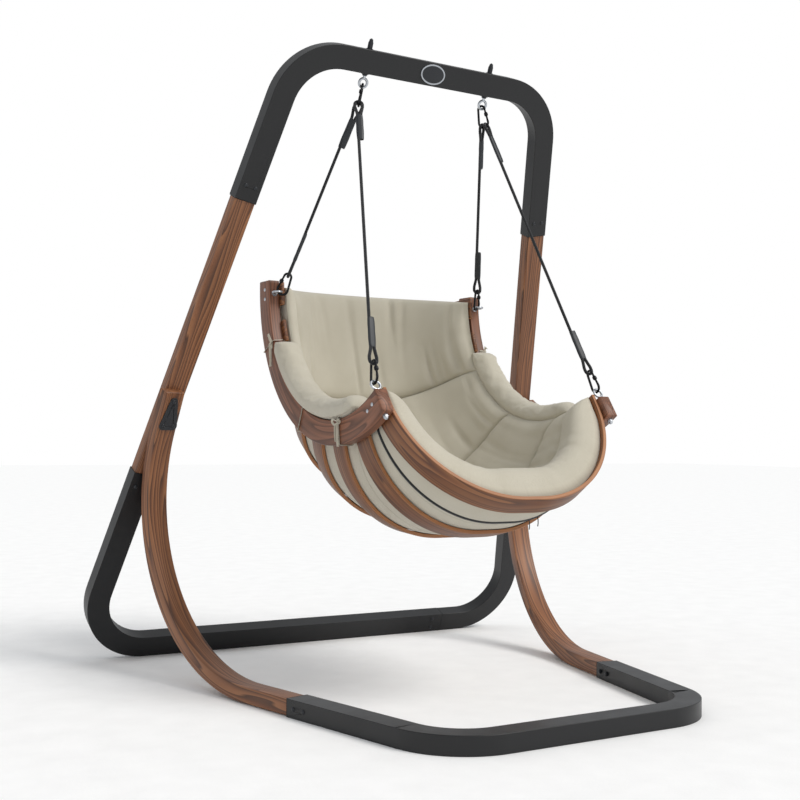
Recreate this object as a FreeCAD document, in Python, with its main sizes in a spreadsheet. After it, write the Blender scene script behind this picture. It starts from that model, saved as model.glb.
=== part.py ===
import FreeCAD, Part
import math
import os

V = FreeCAD.Vector
X_AXIS = V(1, 0, 0)
Y_AXIS = V(0, 1, 0)
Z_AXIS = V(0, 0, 1)

# Driving dimensions, in millimetres and degrees.
SIZES = {
    # bent steel tube and the wooden beams that plug into it
    "tube_width": 80,
    "tube_depth": 55,
    "tube_wall": 2.5,
    "beam_gap": 0.2,
    "bend_radius": 200,
    "plug_length": 120,
    # leaning loop, measured in its own plane
    "lean": 23,
    "loop_height": 2307,
    "base_half": 995,
    "top_half": 535,
    "loop_back": 885,
    "upper_joint": 1750,
    "lower_joint": 750,
    "splice_place": 608,
    # front bow and legs
    "front_edge": 910.5,
    "arm_half": 637,
    "bow_joint": 262,
    "splay": 13,
    "leg_radius": 590,
    "leg_height": 985,
    "lap_bite": 8,
    # frame fasteners
    "frame_bolt_radius": 4,
    "frame_bolt_head": 7.5,
    "bolt_spacing": 36,
    "bolt_clearance": 0.3,
    "plate_thickness": 4,
    # badge
    "badge_long": 48,
    "badge_short": 34,
    "badge_thickness": 3.5,
    # top eye bolts
    "eye_place": 245,
    "eye_drop": 32,
    "eye_ring": 15,
    "eye_wire": 4.5,
    "eye_stud_above": 24,
    # seat ribs
    "rib_inside": 405,
    "rib_thickness": 41,
    "rib_outer": 565,
    "rib_depth": 80,
    "rib_centre_y": -150.5,
    "rib_centre_z": 1366,
    "rib_start": -1.4,
    "rib_end": 125.8,
    # hoops
    "hoop_count": 8,
    "hoop_thickness": 12,
    "hoop_width": 80,
    "hoop_corner": 370,
    "hoop_reach": 863,
    "nut_gap": 1.2,
    "hoop_end": 468,
    "hoop_first": 4,
    "hoop_last": 119.5,
    "front_hoop_lean": 5,
    "hoop_bolt_radius": 3,
    "hoop_bolt_pitch": 34,
    "hoop_screw_bite": 28,
    # seat eye bolts
    "seat_eye_wire": 4,
    "washer_gap": 0.15,
    "seat_eye_rear": 4,
    "seat_eye_front": 123.5,
    "seat_eye_stand": 26,
    # snap hooks
    "hook_wire": 4,
    "hook_small": 12.5,
    "hook_large": 18,
    "hook_centres": 47.5,
    "hook_tilt": 12,
    "hook_turn": 30,
    "gate_wire": 3.5,
    "gate_pin": 1.5,
    "gate_tongue": 3,
    "play": 0.8,
    "link_play": 2.6,
    "running_gap": 0.06,
    # ropes
    "rope_radius": 5.5,
    "rope_loop": 13,
    "rope_strand": 6,
    "loop_length": 40,
    "sleeve_length": 105,
    "sleeve_wall": 1.2,
    # cushion
    "cushion_gap": 8,
    "cushion_side": 65,
    "cushion_base": 118,
    "cushion_corner": 250,
    "cushion_rim": 470,
    "roll_extra": 8,
    "seam_gap": 0.3,
    "back_end": 37,
    "seat_end": 110,
    "arm_start": 27,
    "arm_end": 106,
    "arm_thickness": 38,
}

doc = FreeCAD.newDocument("GliderSwing")
sheet = doc.addObject("Spreadsheet::Sheet", "Sizes")
for row, (alias, number) in enumerate(SIZES.items(), start=1):
    sheet.set("A%d" % row, alias)
    sheet.set("B%d" % row, str(number))
    sheet.setAlias("B%d" % row, alias)
doc.recompute()


def size(alias):
    """The number in the sheet's cell of that name."""
    return float(sheet.get(alias))


PARTS = []


def keep(thing, label):
    """Name a finished sub-part, so that it is checked and written."""
    thing.Label = label
    PARTS.append(thing)
    return thing


def feature(label, shape):
    """A sub-part whose shape is made with Part's own functions."""
    thing = doc.addObject("Part::Feature", label)
    thing.Shape = shape
    return keep(thing, label)


def frame_placement(origin, x_dir, y_dir):
    """Placement whose local X and Y lie along two perpendicular directions."""
    x_dir = V(x_dir).normalize()
    y_dir = V(y_dir).normalize()
    z_dir = x_dir.cross(y_dir)
    matrix = FreeCAD.Matrix(
        x_dir.x, y_dir.x, z_dir.x, origin.x,
        x_dir.y, y_dir.y, z_dir.y, origin.y,
        x_dir.z, y_dir.z, z_dir.z, origin.z,
        0, 0, 0, 1)
    return FreeCAD.Placement(matrix)


# ---------------------------------------------------------------- outlines

def left_of(direction):
    """Unit normal on the left of a direction in the XY plane."""
    return V(-direction.y, direction.x, 0)


def offset_side(points, bend, shift):
    """Edges of a path with rounded corners, moved sideways by shift (left is positive)."""
    edges = []
    before = points[0] + left_of((points[1] - points[0]).normalize()) * shift
    for k in range(1, len(points) - 1):
        coming = (points[k] - points[k - 1]).normalize()
        going = (points[k + 1] - points[k]).normalize()
        turn = coming.getAngle(going)
        side = 1 if coming.cross(going).z > 0 else -1
        reach = bend * math.tan(turn / 2)
        first = points[k] - coming * reach + left_of(coming) * shift
        last = points[k] + going * reach + left_of(going) * shift
        centre = points[k] - coming * reach + left_of(coming) * bend * side
        middle = centre + (points[k] - centre).normalize() * (bend - side * shift)
        if (first - before).Length > 0.01:
            edges.append(Part.LineSegment(before, first))
        edges.append(Part.Arc(first, middle, last))
        before = last
    final = points[-1] + left_of((points[-1] - points[-2]).normalize()) * shift
    edges.append(Part.LineSegment(before, final))
    return edges


def ends_of(edges):
    """First and last point of a chain of edges."""
    return edges[0].StartPoint, edges[-1].EndPoint


def band(points, bend, half):
    """Closed outline of constant width along a path with rounded corners."""
    left = offset_side(points, bend, half)
    right = offset_side(points, bend, -half)
    left_start, left_finish = ends_of(left)
    right_start, right_finish = ends_of(right)
    cap_end = Part.LineSegment(left_finish, right_finish)
    cap_start = Part.LineSegment(right_start, left_start)
    return left + [cap_end] + right + [cap_start]


def grow(points, amount):
    """The path made longer at both ends, so that a hollow opens there."""
    first = points[0] - (points[1] - points[0]).normalize() * amount
    last = points[-1] + (points[-1] - points[-2]).normalize() * amount
    return [first] + points[1:-1] + [last]


def sketch_in(body, name, edges):
    """A sketch on the body's own XY plane."""
    sketch = body.newObject("Sketcher::SketchObject", name)
    plane = [item for item in body.Origin.OriginFeatures if item.Role == "XY_Plane"][0]
    sketch.AttachmentSupport = [(plane, "")]
    sketch.MapMode = "FlatFace"
    for edge in edges:
        sketch.addGeometry(edge, False)
    return sketch


def plate_body(name, edges, thickness, placement):
    """A body padded evenly to both sides of its sketch plane."""
    body = doc.addObject("PartDesign::Body", name)
    pad = body.newObject("PartDesign::Pad", name + "_pad")
    pad.Profile = sketch_in(body, name + "_outline", edges)
    pad.SideType = "Symmetric"
    pad.setExpression("Length", thickness)
    body.Placement = placement
    return body


def tube_body(name, path, placement):
    """Bent rectangular tube with open ends, its wide face in the sketch plane."""
    half = size("tube_width") / 2
    edges = band(path, size("bend_radius"), half)
    body = plate_body(name, edges, "Sizes.tube_depth", placement)
    hollow = band(grow(path, 2), size("bend_radius"), half - size("tube_wall"))
    pocket = body.newObject("PartDesign::Pocket", name + "_hollow")
    pocket.Profile = sketch_in(body, name + "_bore", hollow)
    pocket.SideType = "Symmetric"
    pocket.setExpression("Length", "Sizes.tube_depth - 2 * Sizes.tube_wall")
    return body


# ------------------------------------------------------------- fasteners

def turned(profile):
    """Solid of revolution about Z from (radius, height) points of a half outline."""
    corners = [V(radius, 0, height) for radius, height in profile]
    wire = Part.makePolygon(corners + [corners[0]])
    return Part.Face(wire).revolve(V(0, 0, 0), Z_AXIS, 360)


def dome_bolt(radius, head, grip):
    """Bolt with a low domed head above Z = 0 and its shank below."""
    rise = head * 0.55
    dome = [(head * math.cos(math.radians(a)), rise * math.sin(math.radians(a))) for a in range(0, 90, 15)]
    return turned([(0, -grip), (radius, -grip), (radius, 0)] + dome + [(0, rise)])


def dome_nut(radius, outside, height):
    """Hexagon nut with a domed cap, its open face at Z = 0, bored for its bolt."""
    corner = outside / math.cos(math.radians(30))
    points = [V(corner * math.cos(math.radians(60 * k)), corner * math.sin(math.radians(60 * k)), 0)
              for k in range(7)]
    flats = Part.Face(Part.makePolygon(points)).extrude(V(0, 0, height * 0.6))
    cap = turned([(0, height * 0.6), (outside * 0.92, height * 0.6), (outside * 0.7, height * 0.88), (0, height)])
    bore = Part.makeCylinder(radius, height * 0.7)
    return flats.fuse(cap).cut(bore).removeSplitter()


def stand_on(shape, origin, direction):
    """A copy of a shape whose Z axis is turned to a direction, at an origin."""
    copy = shape.copy()
    copy.Placement = FreeCAD.Placement(origin, FreeCAD.Rotation(Z_AXIS, direction))
    return copy


def drilled(thing, label, holes):
    """Cut round holes, each (start, direction, radius, depth), through a sub-part."""
    tools = []
    for number, (start, direction, radius, depth) in enumerate(holes):
        drill = doc.addObject("Part::Cylinder", "%s_drill_%d" % (label, number))
        drill.Radius = radius
        drill.Height = depth
        drill.Placement = FreeCAD.Placement(start, FreeCAD.Rotation(Z_AXIS, direction))
        tools.append(drill)
    group = doc.addObject("Part::Compound", label + "_drills")
    group.Links = tools
    cut = doc.addObject("Part::Cut", label)
    cut.Base = thing
    cut.Tool = group
    return cut


# ------------------------------------------------- the leaning loop's plane

LEAN = math.radians(size("lean"))
UP_LOOP = V(0, -math.sin(LEAN), math.cos(LEAN))
FRONT_LOOP = V(0, -math.cos(LEAN), -math.sin(LEAN))
LOOP_ORIGIN = V(0, size("loop_back"), size("tube_depth") / 2 * math.sin(LEAN))
LOOP_PLACE = frame_placement(LOOP_ORIGIN, X_AXIS, UP_LOOP)

HALF_TUBE = size("tube_width") / 2
HALF_DEPTH = size("tube_depth") / 2
BEAM_HALF_WIDTH = HALF_TUBE - size("tube_wall") - size("beam_gap")
BEAM_HALF_DEPTH = HALF_DEPTH - size("tube_wall") - size("beam_gap")
HOLE_RADIUS = size("frame_bolt_radius") + size("bolt_clearance")


def loop_point(across, along, forward=0.0):
    """World point from the loop plane's own coordinates."""
    return LOOP_ORIGIN + X_AXIS * across + UP_LOOP * along + FRONT_LOOP * forward


SLOPE = (size("base_half") - size("top_half")) / size("loop_height")
SIDE_ANGLE = math.atan(SLOPE)


def side_centre(along, side):
    """Point on an upright's centre line, in loop plane coordinates."""
    across = size("base_half") - SLOPE * along - HALF_TUBE / math.cos(SIDE_ANGLE)
    return V(side * across, along, 0)


def upright_direction(side):
    """Direction up an upright, in loop plane coordinates."""
    return V(-side * math.sin(SIDE_ANGLE), math.cos(SIDE_ANGLE), 0)


TOP_LINE = size("loop_height") - HALF_TUBE
top_path = [side_centre(size("upper_joint"), -1), side_centre(TOP_LINE, -1),
            side_centre(TOP_LINE, 1), side_centre(size("upper_joint"), 1)]
long_path = [side_centre(size("lower_joint"), -1), side_centre(HALF_TUBE, -1),
             V(size("splice_place"), HALF_TUBE, 0)]
short_path = [V(size("splice_place"), HALF_TUBE, 0), side_centre(HALF_TUBE, 1),
              side_centre(size("lower_joint"), 1)]


# ------------------------------------------------------ bolts of the loop

def joint_bolt_places(side, joint, toward):
    """Two bolt places beside each other near the end of a tube."""
    place = side_centre(joint + toward * 50, side)
    across = left_of(upright_direction(side)) * (size("bolt_spacing") / 2)
    return [place - across, place + across]


def on_front(place, forward):
    """World point above a place of the loop plane."""
    return loop_point(place.x, place.y, forward)


upper_places = {side: joint_bolt_places(side, size("upper_joint"), 1) for side in (-1, 1)}
lower_places = {side: joint_bolt_places(side, size("lower_joint"), -1) for side in (-1, 1)}
splice_places = [V(size("splice_place") - 48, HALF_TUBE + shift, 0) for shift in (-20, 20)]


def loop_holes(places):
    """Holes right through the tube at places of the loop plane."""
    start = -HALF_DEPTH - 5
    return [(on_front(place, start), FRONT_LOOP, HOLE_RADIUS, 2 * HALF_DEPTH + 10) for place in places]


eye_stem_radius = 5.0
eye_holes = [(loop_point(side * size("eye_place"), TOP_LINE - HALF_TUBE - 5), UP_LOOP,
              eye_stem_radius + size("bolt_clearance"), size("tube_width") + 10) for side in (-1, 1)]

top_bow = tube_body("top_bow_blank", top_path, LOOP_PLACE)
keep(drilled(top_bow, "top_bow", loop_holes(upper_places[-1] + upper_places[1]) + eye_holes), "top_bow")
rear_long = tube_body("rear_bow_left_blank", long_path, LOOP_PLACE)
keep(drilled(rear_long, "rear_bow_left", loop_holes(lower_places[-1] + splice_places)), "rear_bow_left")
rear_short = tube_body("rear_bow_right_blank", short_path, LOOP_PLACE)
keep(drilled(rear_short, "rear_bow_right", loop_holes(lower_places[1])), "rear_bow_right")

# Inner sleeve that joins the two rear tubes.
splice_path = [V(size("splice_place") - 100, HALF_TUBE, 0), V(size("splice_place") + 70, HALF_TUBE, 0)]
sleeve = plate_body("splice_blank", band(splice_path, 1, BEAM_HALF_WIDTH),
                    "Sizes.tube_depth - 2 * Sizes.tube_wall - 2 * Sizes.beam_gap", LOOP_PLACE)
sleeve_bore = sleeve.newObject("PartDesign::Pocket", "splice_hollow")
sleeve_bore.Profile = sketch_in(sleeve, "splice_bore", band(grow(splice_path, 2), 1, BEAM_HALF_WIDTH - 3))
sleeve_bore.SideType = "Symmetric"
sleeve_bore.setExpression("Length", "Sizes.tube_depth - 4 * Sizes.tube_wall")
keep(drilled(sleeve, "rear_splice_sleeve", loop_holes(splice_places)), "rear_splice_sleeve")


# ---------------------------------------------------------------- legs

SPLAY = math.radians(size("splay"))
BETA = math.atan(math.tan(LEAN) / math.cos(SPLAY))


def leg_axes(side):
    """Backward direction of a leg's plane, and the plane's outward normal."""
    back = V(side * math.sin(SPLAY), math.cos(SPLAY), 0)
    outward = V(side * math.cos(SPLAY), -math.sin(SPLAY), 0)
    return back, outward


def leg_origin(side):
    """Floor point under the leg's middle plane, beside the front joint."""
    back, outward = leg_axes(side)
    return V(side * size("arm_half"), -size("bow_joint"), 0) - outward * HALF_TUBE


def leg_line(height):
    """Distance back to the centre line of the leg's straight top, at a height."""
    front_face = (size("loop_back") - (BEAM_HALF_DEPTH + (height - LOOP_ORIGIN.z) * math.sin(LEAN))
                  / math.cos(LEAN))
    start = (front_face + size("bow_joint")) / math.cos(SPLAY)
    return start - BEAM_HALF_DEPTH / math.cos(BETA) + size("lap_bite")


leg_top = V(leg_line(size("leg_height")), size("leg_height"), 0)
floor_height = HALF_DEPTH
leg_corner = V(leg_line(floor_height), floor_height, 0)
leg_path = [V(-size("plug_length"), floor_height, 0), leg_corner, leg_top]
leg_up = (leg_top - leg_corner).normalize()


def leg_world(side, point, outward_shift=0.0):
    """World point from the leg plane's own coordinates."""
    back, outward = leg_axes(side)
    return leg_origin(side) + back * point.x + Z_AXIS * point.y + outward * outward_shift


def leg_front(side):
    """Direction out of the front face of the leg's straight top."""
    back, outward = leg_axes(side)
    return (back * -leg_up.y + Z_AXIS * leg_up.x).normalize()


plate_places = [(0, 34), (-20, 124), (20, 124)]
screw_length = 92.0


def plate_bolt_points(side):
    """Centres of the three lap screws on the leg's front face."""
    points = []
    for across, below in plate_places:
        spot = leg_top - leg_up * below
        points.append(leg_world(side, spot, across) + leg_front(side) * BEAM_HALF_DEPTH)
    return points


arm_bolt_places = [32.0, 78.0]


def arm_bolt_points(side):
    """Centres of the two bolts through the front bow's arm."""
    return [leg_world(side, V(-place, floor_height, 0)) for place in arm_bolt_places]


def arm_holes(side):
    """Holes across the arm of the front bow."""
    back, outward = leg_axes(side)
    return [(point - outward * (HALF_TUBE + 5), outward, HOLE_RADIUS, size("tube_width") + 10)
            for point in arm_bolt_points(side)]


def lap_holes(side):
    """Holes of the lap screws, from in front of the plate inwards."""
    inward = leg_front(side) * -1
    return [(point - inward * 10, inward, size("frame_bolt_radius"), screw_length + 10)
            for point in plate_bolt_points(side)]


def behind_loop(front, low, high):
    """A block behind a plane of the loop, used to trim what laps onto it."""
    reach = 1200.0
    block = doc.addObject("Part::Box", "lap_cutter")
    block.Length = 2 * reach
    block.Width = high - low
    block.Height = 300
    block.Placement = frame_placement(loop_point(-reach, low, front - 300), X_AXIS, UP_LOOP)
    return block


for side, word in ((-1, "left"), (1, "right")):
    back, outward = leg_axes(side)
    place = frame_placement(leg_origin(side), back, Z_AXIS)
    blank = plate_body(word + "_leg_blank", band(leg_path, size("leg_radius"), BEAM_HALF_DEPTH),
                       "Sizes.tube_width - 2 * Sizes.tube_wall - 2 * Sizes.beam_gap", place)
    trimmers = doc.addObject("Part::Compound", word + "_leg_trimmers")
    low_face = size("lower_joint")
    trimmers.Links = [behind_loop(BEAM_HALF_DEPTH, low_face, 1400),
                      behind_loop(HALF_DEPTH + size("play"), 200, low_face + 3)]
    trimmed = doc.addObject("Part::Cut", word + "_leg_trimmed")
    trimmed.Base = blank
    trimmed.Tool = trimmers
    keep(drilled(trimmed, word + "_leg", arm_holes(side) + lap_holes(side)), word + "_leg")

    foot = side_centre(size("lower_joint") - size("plug_length"), side)
    head = side_centre(size("upper_joint") + size("plug_length"), side)
    beam = plate_body(word + "_upright_blank", band([foot, head], 1, BEAM_HALF_WIDTH),
                      "Sizes.tube_depth - 2 * Sizes.tube_wall - 2 * Sizes.beam_gap", LOOP_PLACE)
    beam_holes = loop_holes(upper_places[side] + lower_places[side]) + lap_holes(side)
    keep(drilled(beam, word + "_upright", beam_holes), word + "_upright")


# ----------------------------------------------------------- front bow

FRONT_LINE = -size("front_edge") + HALF_TUBE


def arm_point(side, y):
    """Point on the centre line of a front arm, in plan."""
    back, outward = leg_axes(side)
    start = leg_origin(side)
    return start + back * ((y - start.y) / back.y)


bow_path = [leg_origin(-1), arm_point(-1, FRONT_LINE), arm_point(1, FRONT_LINE), leg_origin(1)]
front_bow = tube_body("front_bow_blank", bow_path, FreeCAD.Placement(V(0, 0, HALF_DEPTH), FreeCAD.Rotation()))
keep(drilled(front_bow, "front_bow", arm_holes(-1) + arm_holes(1)), "front_bow")

# ------------------------------------------------- leg plates and bolts

plate_corner = 15.0


def plate_outline():
    """Rounded triangle around the three screws, its narrow end at the top."""
    points = [V(across, -below, 0) for across, below in plate_places]
    top, left, right = points
    ring = [top, right, left]
    edges = []
    for k in range(3):
        here = ring[k]
        after = ring[(k + 1) % 3]
        before = ring[k - 1]
        out_before = left_of((here - before).normalize())
        out_after = left_of((after - here).normalize())
        middle = (out_before + out_after).normalize()
        edges.append(Part.Arc(here + out_before * plate_corner, here + middle * plate_corner,
                              here + out_after * plate_corner))
        edges.append(Part.LineSegment(here + out_after * plate_corner, after + out_after * plate_corner))
    return edges


frame_bolts = []
frame_nuts = []
lap_screws = []
head_radius = size("frame_bolt_head")
bolt_radius = size("frame_bolt_radius")
for side, word in ((-1, "left"), (1, "right")):
    back, outward = leg_axes(side)
    up = back * leg_up.x + Z_AXIS * leg_up.y
    front = leg_front(side)
    face = leg_world(side, leg_top) + front * (BEAM_HALF_DEPTH + size("plate_thickness") / 2)
    across = up.cross(front)
    plate = plate_body(word + "_plate_blank", plate_outline(), "Sizes.plate_thickness",
                       frame_placement(face, across, up))
    plate_holes = [(point - front * 2, front, bolt_radius, 12) for point in plate_bolt_points(side)]
    keep(drilled(plate, word + "_leg_plate", plate_holes), word + "_leg_plate")
    for point in plate_bolt_points(side):
        screw = dome_bolt(bolt_radius, head_radius, screw_length - 6)
        lap_screws.append(stand_on(screw, point + front * size("plate_thickness"), front))
    for place in upper_places[side] + lower_places[side]:
        bolt = dome_bolt(bolt_radius, head_radius, size("tube_depth") + 6)
        frame_bolts.append(stand_on(bolt, on_front(place, HALF_DEPTH), FRONT_LOOP))
        nut = dome_nut(bolt_radius, 6.5, 9)
        frame_nuts.append(stand_on(nut, on_front(place, -HALF_DEPTH), FRONT_LOOP * -1))
    for point in arm_bolt_points(side):
        bolt = dome_bolt(bolt_radius, head_radius, size("tube_width") + 6)
        frame_bolts.append(stand_on(bolt, point + outward * HALF_TUBE, outward))
        nut = dome_nut(bolt_radius, 6.5, 9)
        frame_nuts.append(stand_on(nut, point - outward * HALF_TUBE, outward * -1))
for place in splice_places:
    bolt = dome_bolt(bolt_radius, head_radius, size("tube_depth") + 6)
    frame_bolts.append(stand_on(bolt, on_front(place, HALF_DEPTH), FRONT_LOOP))
    nut = dome_nut(bolt_radius, 6.5, 9)
    frame_nuts.append(stand_on(nut, on_front(place, -HALF_DEPTH), FRONT_LOOP * -1))
feature("frame_bolts", Part.makeCompound(frame_bolts))
feature("frame_nuts", Part.makeCompound(frame_nuts))
feature("lap_screws", Part.makeCompound(lap_screws))

# --------------------------------------------------------------- badge

badge = doc.addObject("Part::Ellipse", "badge_outline")
badge.setExpression("MajorRadius", "Sizes.badge_long")
badge.setExpression("MinorRadius", "Sizes.badge_short")
badge_plate = doc.addObject("Part::Extrusion", "badge")
badge_plate.Base = badge
badge_plate.DirMode = "Custom"
badge_plate.Dir = Z_AXIS
badge_plate.Solid = True
badge_plate.setExpression("LengthFwd", "Sizes.badge_thickness")
badge_plate.Placement = frame_placement(loop_point(0, TOP_LINE, HALF_DEPTH), X_AXIS, UP_LOOP)
keep(badge_plate, "badge")

# ------------------------------------------------------- top eye bolts


def eye_bolt(ring, wire, stem, stem_length):
    """Eye bolt: ring centred on the origin in the XZ plane, stem up along Z."""
    loop = Part.makeTorus(ring, wire, V(0, 0, 0), Y_AXIS)
    shank = Part.makeCylinder(stem, stem_length, V(0, 0, ring), Z_AXIS)
    return loop.fuse(shank).removeSplitter()


def washer(radius, outside, thickness):
    """Flat washer with its lower face at Z = 0."""
    return Part.makeCylinder(outside, thickness).cut(Part.makeCylinder(radius, thickness))


stem_length = size("eye_drop") - size("eye_ring") + size("tube_width") + size("eye_stud_above")
under_bar = size("loop_height") - size("tube_width")
top_eyes = []
top_nuts = []
for side in (-1, 1):
    eye = loop_point(side * size("eye_place"), under_bar - size("eye_drop"))
    solid = eye_bolt(size("eye_ring"), size("eye_wire"), eye_stem_radius, stem_length)
    solid.Placement = frame_placement(eye, X_AXIS, FRONT_LOOP * -1)
    top_eyes.append(solid)
    below = loop_point(side * size("eye_place"), under_bar)
    above = loop_point(side * size("eye_place"), size("loop_height"))
    flange = turned([(eye_stem_radius, 0), (13, 0), (13, 2.5), (9, 3.5), (8, 8), (eye_stem_radius, 8)])
    top_nuts.append(stand_on(flange, below, UP_LOOP * -1))
    top_nuts.append(stand_on(washer(eye_stem_radius, 12, 2.5), above, UP_LOOP))
    cap = dome_nut(eye_stem_radius, 8.5, 34)
    top_nuts.append(stand_on(cap, above + UP_LOOP * 2.5, UP_LOOP))
feature("top_eye_bolts", Part.makeCompound(top_eyes))
feature("top_eye_nuts", Part.makeCompound(top_nuts))

# ------------------------------------------------------------ seat ribs

RIB_CENTRE = V(0, size("rib_centre_y"), size("rib_centre_z"))
RIB_INNER = size("rib_outer") - size("rib_depth")
RIB_MIDDLE = size("rib_outer") - size("rib_depth") / 2 - 7
RIB_ACROSS = size("rib_inside") + size("rib_thickness") / 2


def radial(angle):
    """Unit vector out from the ribs' centre; 0 is straight back and 90 straight down."""
    turn = math.radians(angle)
    return V(0, math.cos(turn), -math.sin(turn))


def tangent(angle):
    """Unit vector along the rib, back up towards its rear end."""
    turn = math.radians(angle)
    return V(0, math.sin(turn), math.cos(turn))


def seat_point(across, radius, angle):
    """World point from the seat's own round coordinates."""
    return RIB_CENTRE + X_AXIS * across + radial(angle) * radius


hoop_step = (size("hoop_last") - size("hoop_first")) / (size("hoop_count") - 1)
hoop_angles = [size("hoop_first") + hoop_step * k for k in range(int(size("hoop_count")))]
bolt_radius_hoop = size("hoop_bolt_radius")


def hoop_bolt_points(angle, lean, across):
    """Two bolt places of a hoop's end, one above the other along the rib."""
    middle = seat_point(across, RIB_MIDDLE, angle)
    along = tangent(angle + lean) * (size("hoop_bolt_pitch") / 2)
    return [middle - along, middle + along]


BOLTED_HOOPS = (1, len(hoop_angles))
hoop_leans = [0.0] * (len(hoop_angles) - 1) + [size("front_hoop_lean")]


def rib_holes(side):
    """Holes in one rib: right through for the end hoops' bolts, blind for the other hoops' screws."""
    lead = 5.0
    start = side * (size("rib_inside") - lead)
    outward = X_AXIS * side
    holes = []
    for number, (angle, lean) in enumerate(zip(hoop_angles, hoop_leans), start=1):
        radius = bolt_radius_hoop
        depth = lead + size("nut_gap") + size("hoop_screw_bite")
        if number in BOLTED_HOOPS:
            radius = bolt_radius_hoop + size("bolt_clearance")
            depth = size("rib_thickness") + 2 * lead
        for point in hoop_bolt_points(angle, lean, start):
            holes.append((point, outward, radius, depth))
    return holes


eye_angles = {"rear": size("seat_eye_rear"), "front": size("seat_eye_front")}
seat_stem = 4.0

for side, word in ((-1, "left"), (1, "right")):
    start = math.radians(-size("rib_start"))
    finish = math.radians(-size("rib_end"))
    middle = (start + finish) / 2

    def polar(radius, turn):
        return V(radius * math.cos(turn), radius * math.sin(turn), 0)

    outer = size("rib_outer")
    edges = [Part.Arc(polar(outer, start), polar(outer, middle), polar(outer, finish)),
             Part.LineSegment(polar(outer, finish), polar(RIB_INNER, finish)),
             Part.Arc(polar(RIB_INNER, finish), polar(RIB_INNER, middle), polar(RIB_INNER, start)),
             Part.LineSegment(polar(RIB_INNER, start), polar(outer, start))]
    place = frame_placement(RIB_CENTRE + X_AXIS * (side * RIB_ACROSS), Y_AXIS, Z_AXIS)
    blank = plate_body(word + "_rib_blank", edges, "Sizes.rib_thickness", place)
    holes = rib_holes(side)
    for angle in eye_angles.values():
        holes.append((seat_point(side * RIB_ACROSS, RIB_INNER - 5, angle), radial(angle),
                      seat_stem + size("bolt_clearance"), size("rib_depth") + 10))
    keep(drilled(blank, word + "_rib", holes), word + "_rib")

# ---------------------------------------------------------------- hoops

hoop_bolts = []
hoop_nuts = []
hoop_screws = []
hoop_radius = size("rib_inside") - size("hoop_thickness") / 2
hoop_path = [V(-hoop_radius, size("hoop_end"), 0), V(-hoop_radius, size("hoop_reach"), 0),
             V(hoop_radius, size("hoop_reach"), 0), V(hoop_radius, size("hoop_end"), 0)]
for number, (angle, lean) in enumerate(zip(hoop_angles, hoop_leans), start=1):
    pivot = seat_point(0, RIB_MIDDLE, angle)
    origin = pivot - radial(angle + lean) * RIB_MIDDLE
    place = frame_placement(origin, X_AXIS, radial(angle + lean))
    name = "hoop_%d" % number
    blank = plate_body(name + "_blank", band(hoop_path, size("hoop_corner"), size("hoop_thickness") / 2),
                       "Sizes.hoop_width", place)
    holes = []
    for side in (-1, 1):
        inner = side * (size("rib_inside") - size("hoop_thickness") / 2)
        for point in hoop_bolt_points(angle, lean, inner):
            holes.append((point - X_AXIS * 15, X_AXIS, bolt_radius_hoop + size("bolt_clearance"), 30))
        outside = side * (size("rib_inside") + size("rib_thickness"))
        inside = side * (size("rib_inside") - size("hoop_thickness") - size("nut_gap"))
        if number in BOLTED_HOOPS:
            for point in hoop_bolt_points(angle, lean, outside):
                bolt = dome_bolt(bolt_radius_hoop, 6.2, size("rib_thickness") + size("hoop_thickness") + 3.5)
                hoop_bolts.append(stand_on(bolt, point, X_AXIS * side))
            for point in hoop_bolt_points(angle, lean, inside):
                nut = dome_nut(bolt_radius_hoop, 5, 5.5)
                hoop_nuts.append(stand_on(nut, point, X_AXIS * -side))
        else:
            grip = size("hoop_thickness") + size("nut_gap") + size("hoop_screw_bite") - 1
            for point in hoop_bolt_points(angle, lean, inside):
                screw = dome_bolt(bolt_radius_hoop, 5, grip)
                hoop_screws.append(stand_on(screw, point, X_AXIS * -side))
    keep(drilled(blank, name, holes), name)
feature("hoop_bolts", Part.makeCompound(hoop_bolts + hoop_screws))
feature("hoop_nuts", Part.makeCompound(hoop_nuts))

# -------------------------------------------------------- seat eye bolts

seat_eyes = []
seat_eye_nuts = []
seat_stem_length = size("seat_eye_stand") + size("rib_depth") + 12 - size("eye_ring")
for side in (-1, 1):
    for angle in eye_angles.values():
        centre = seat_point(side * RIB_ACROSS, RIB_INNER - size("seat_eye_stand"), angle)
        eye = eye_bolt(size("eye_ring"), size("seat_eye_wire"), seat_stem, seat_stem_length)
        eye.Placement = frame_placement(centre, X_AXIS, tangent(angle) * -1)
        seat_eyes.append(eye)
        under = seat_point(side * RIB_ACROSS, size("rib_outer"), angle)
        seat_eye_nuts.append(stand_on(dome_nut(seat_stem, 7.5, 18), under, radial(angle)))
        inner = seat_point(side * RIB_ACROSS, RIB_INNER - size("washer_gap"), angle)
        seat_eye_nuts.append(stand_on(washer(seat_stem, 10, 2), inner, radial(angle) * -1))
feature("seat_eye_bolts", Part.makeCompound(seat_eyes))
feature("seat_eye_nuts", Part.makeCompound(seat_eye_nuts))

# ------------------------------------------------------------ snap hooks

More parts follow.
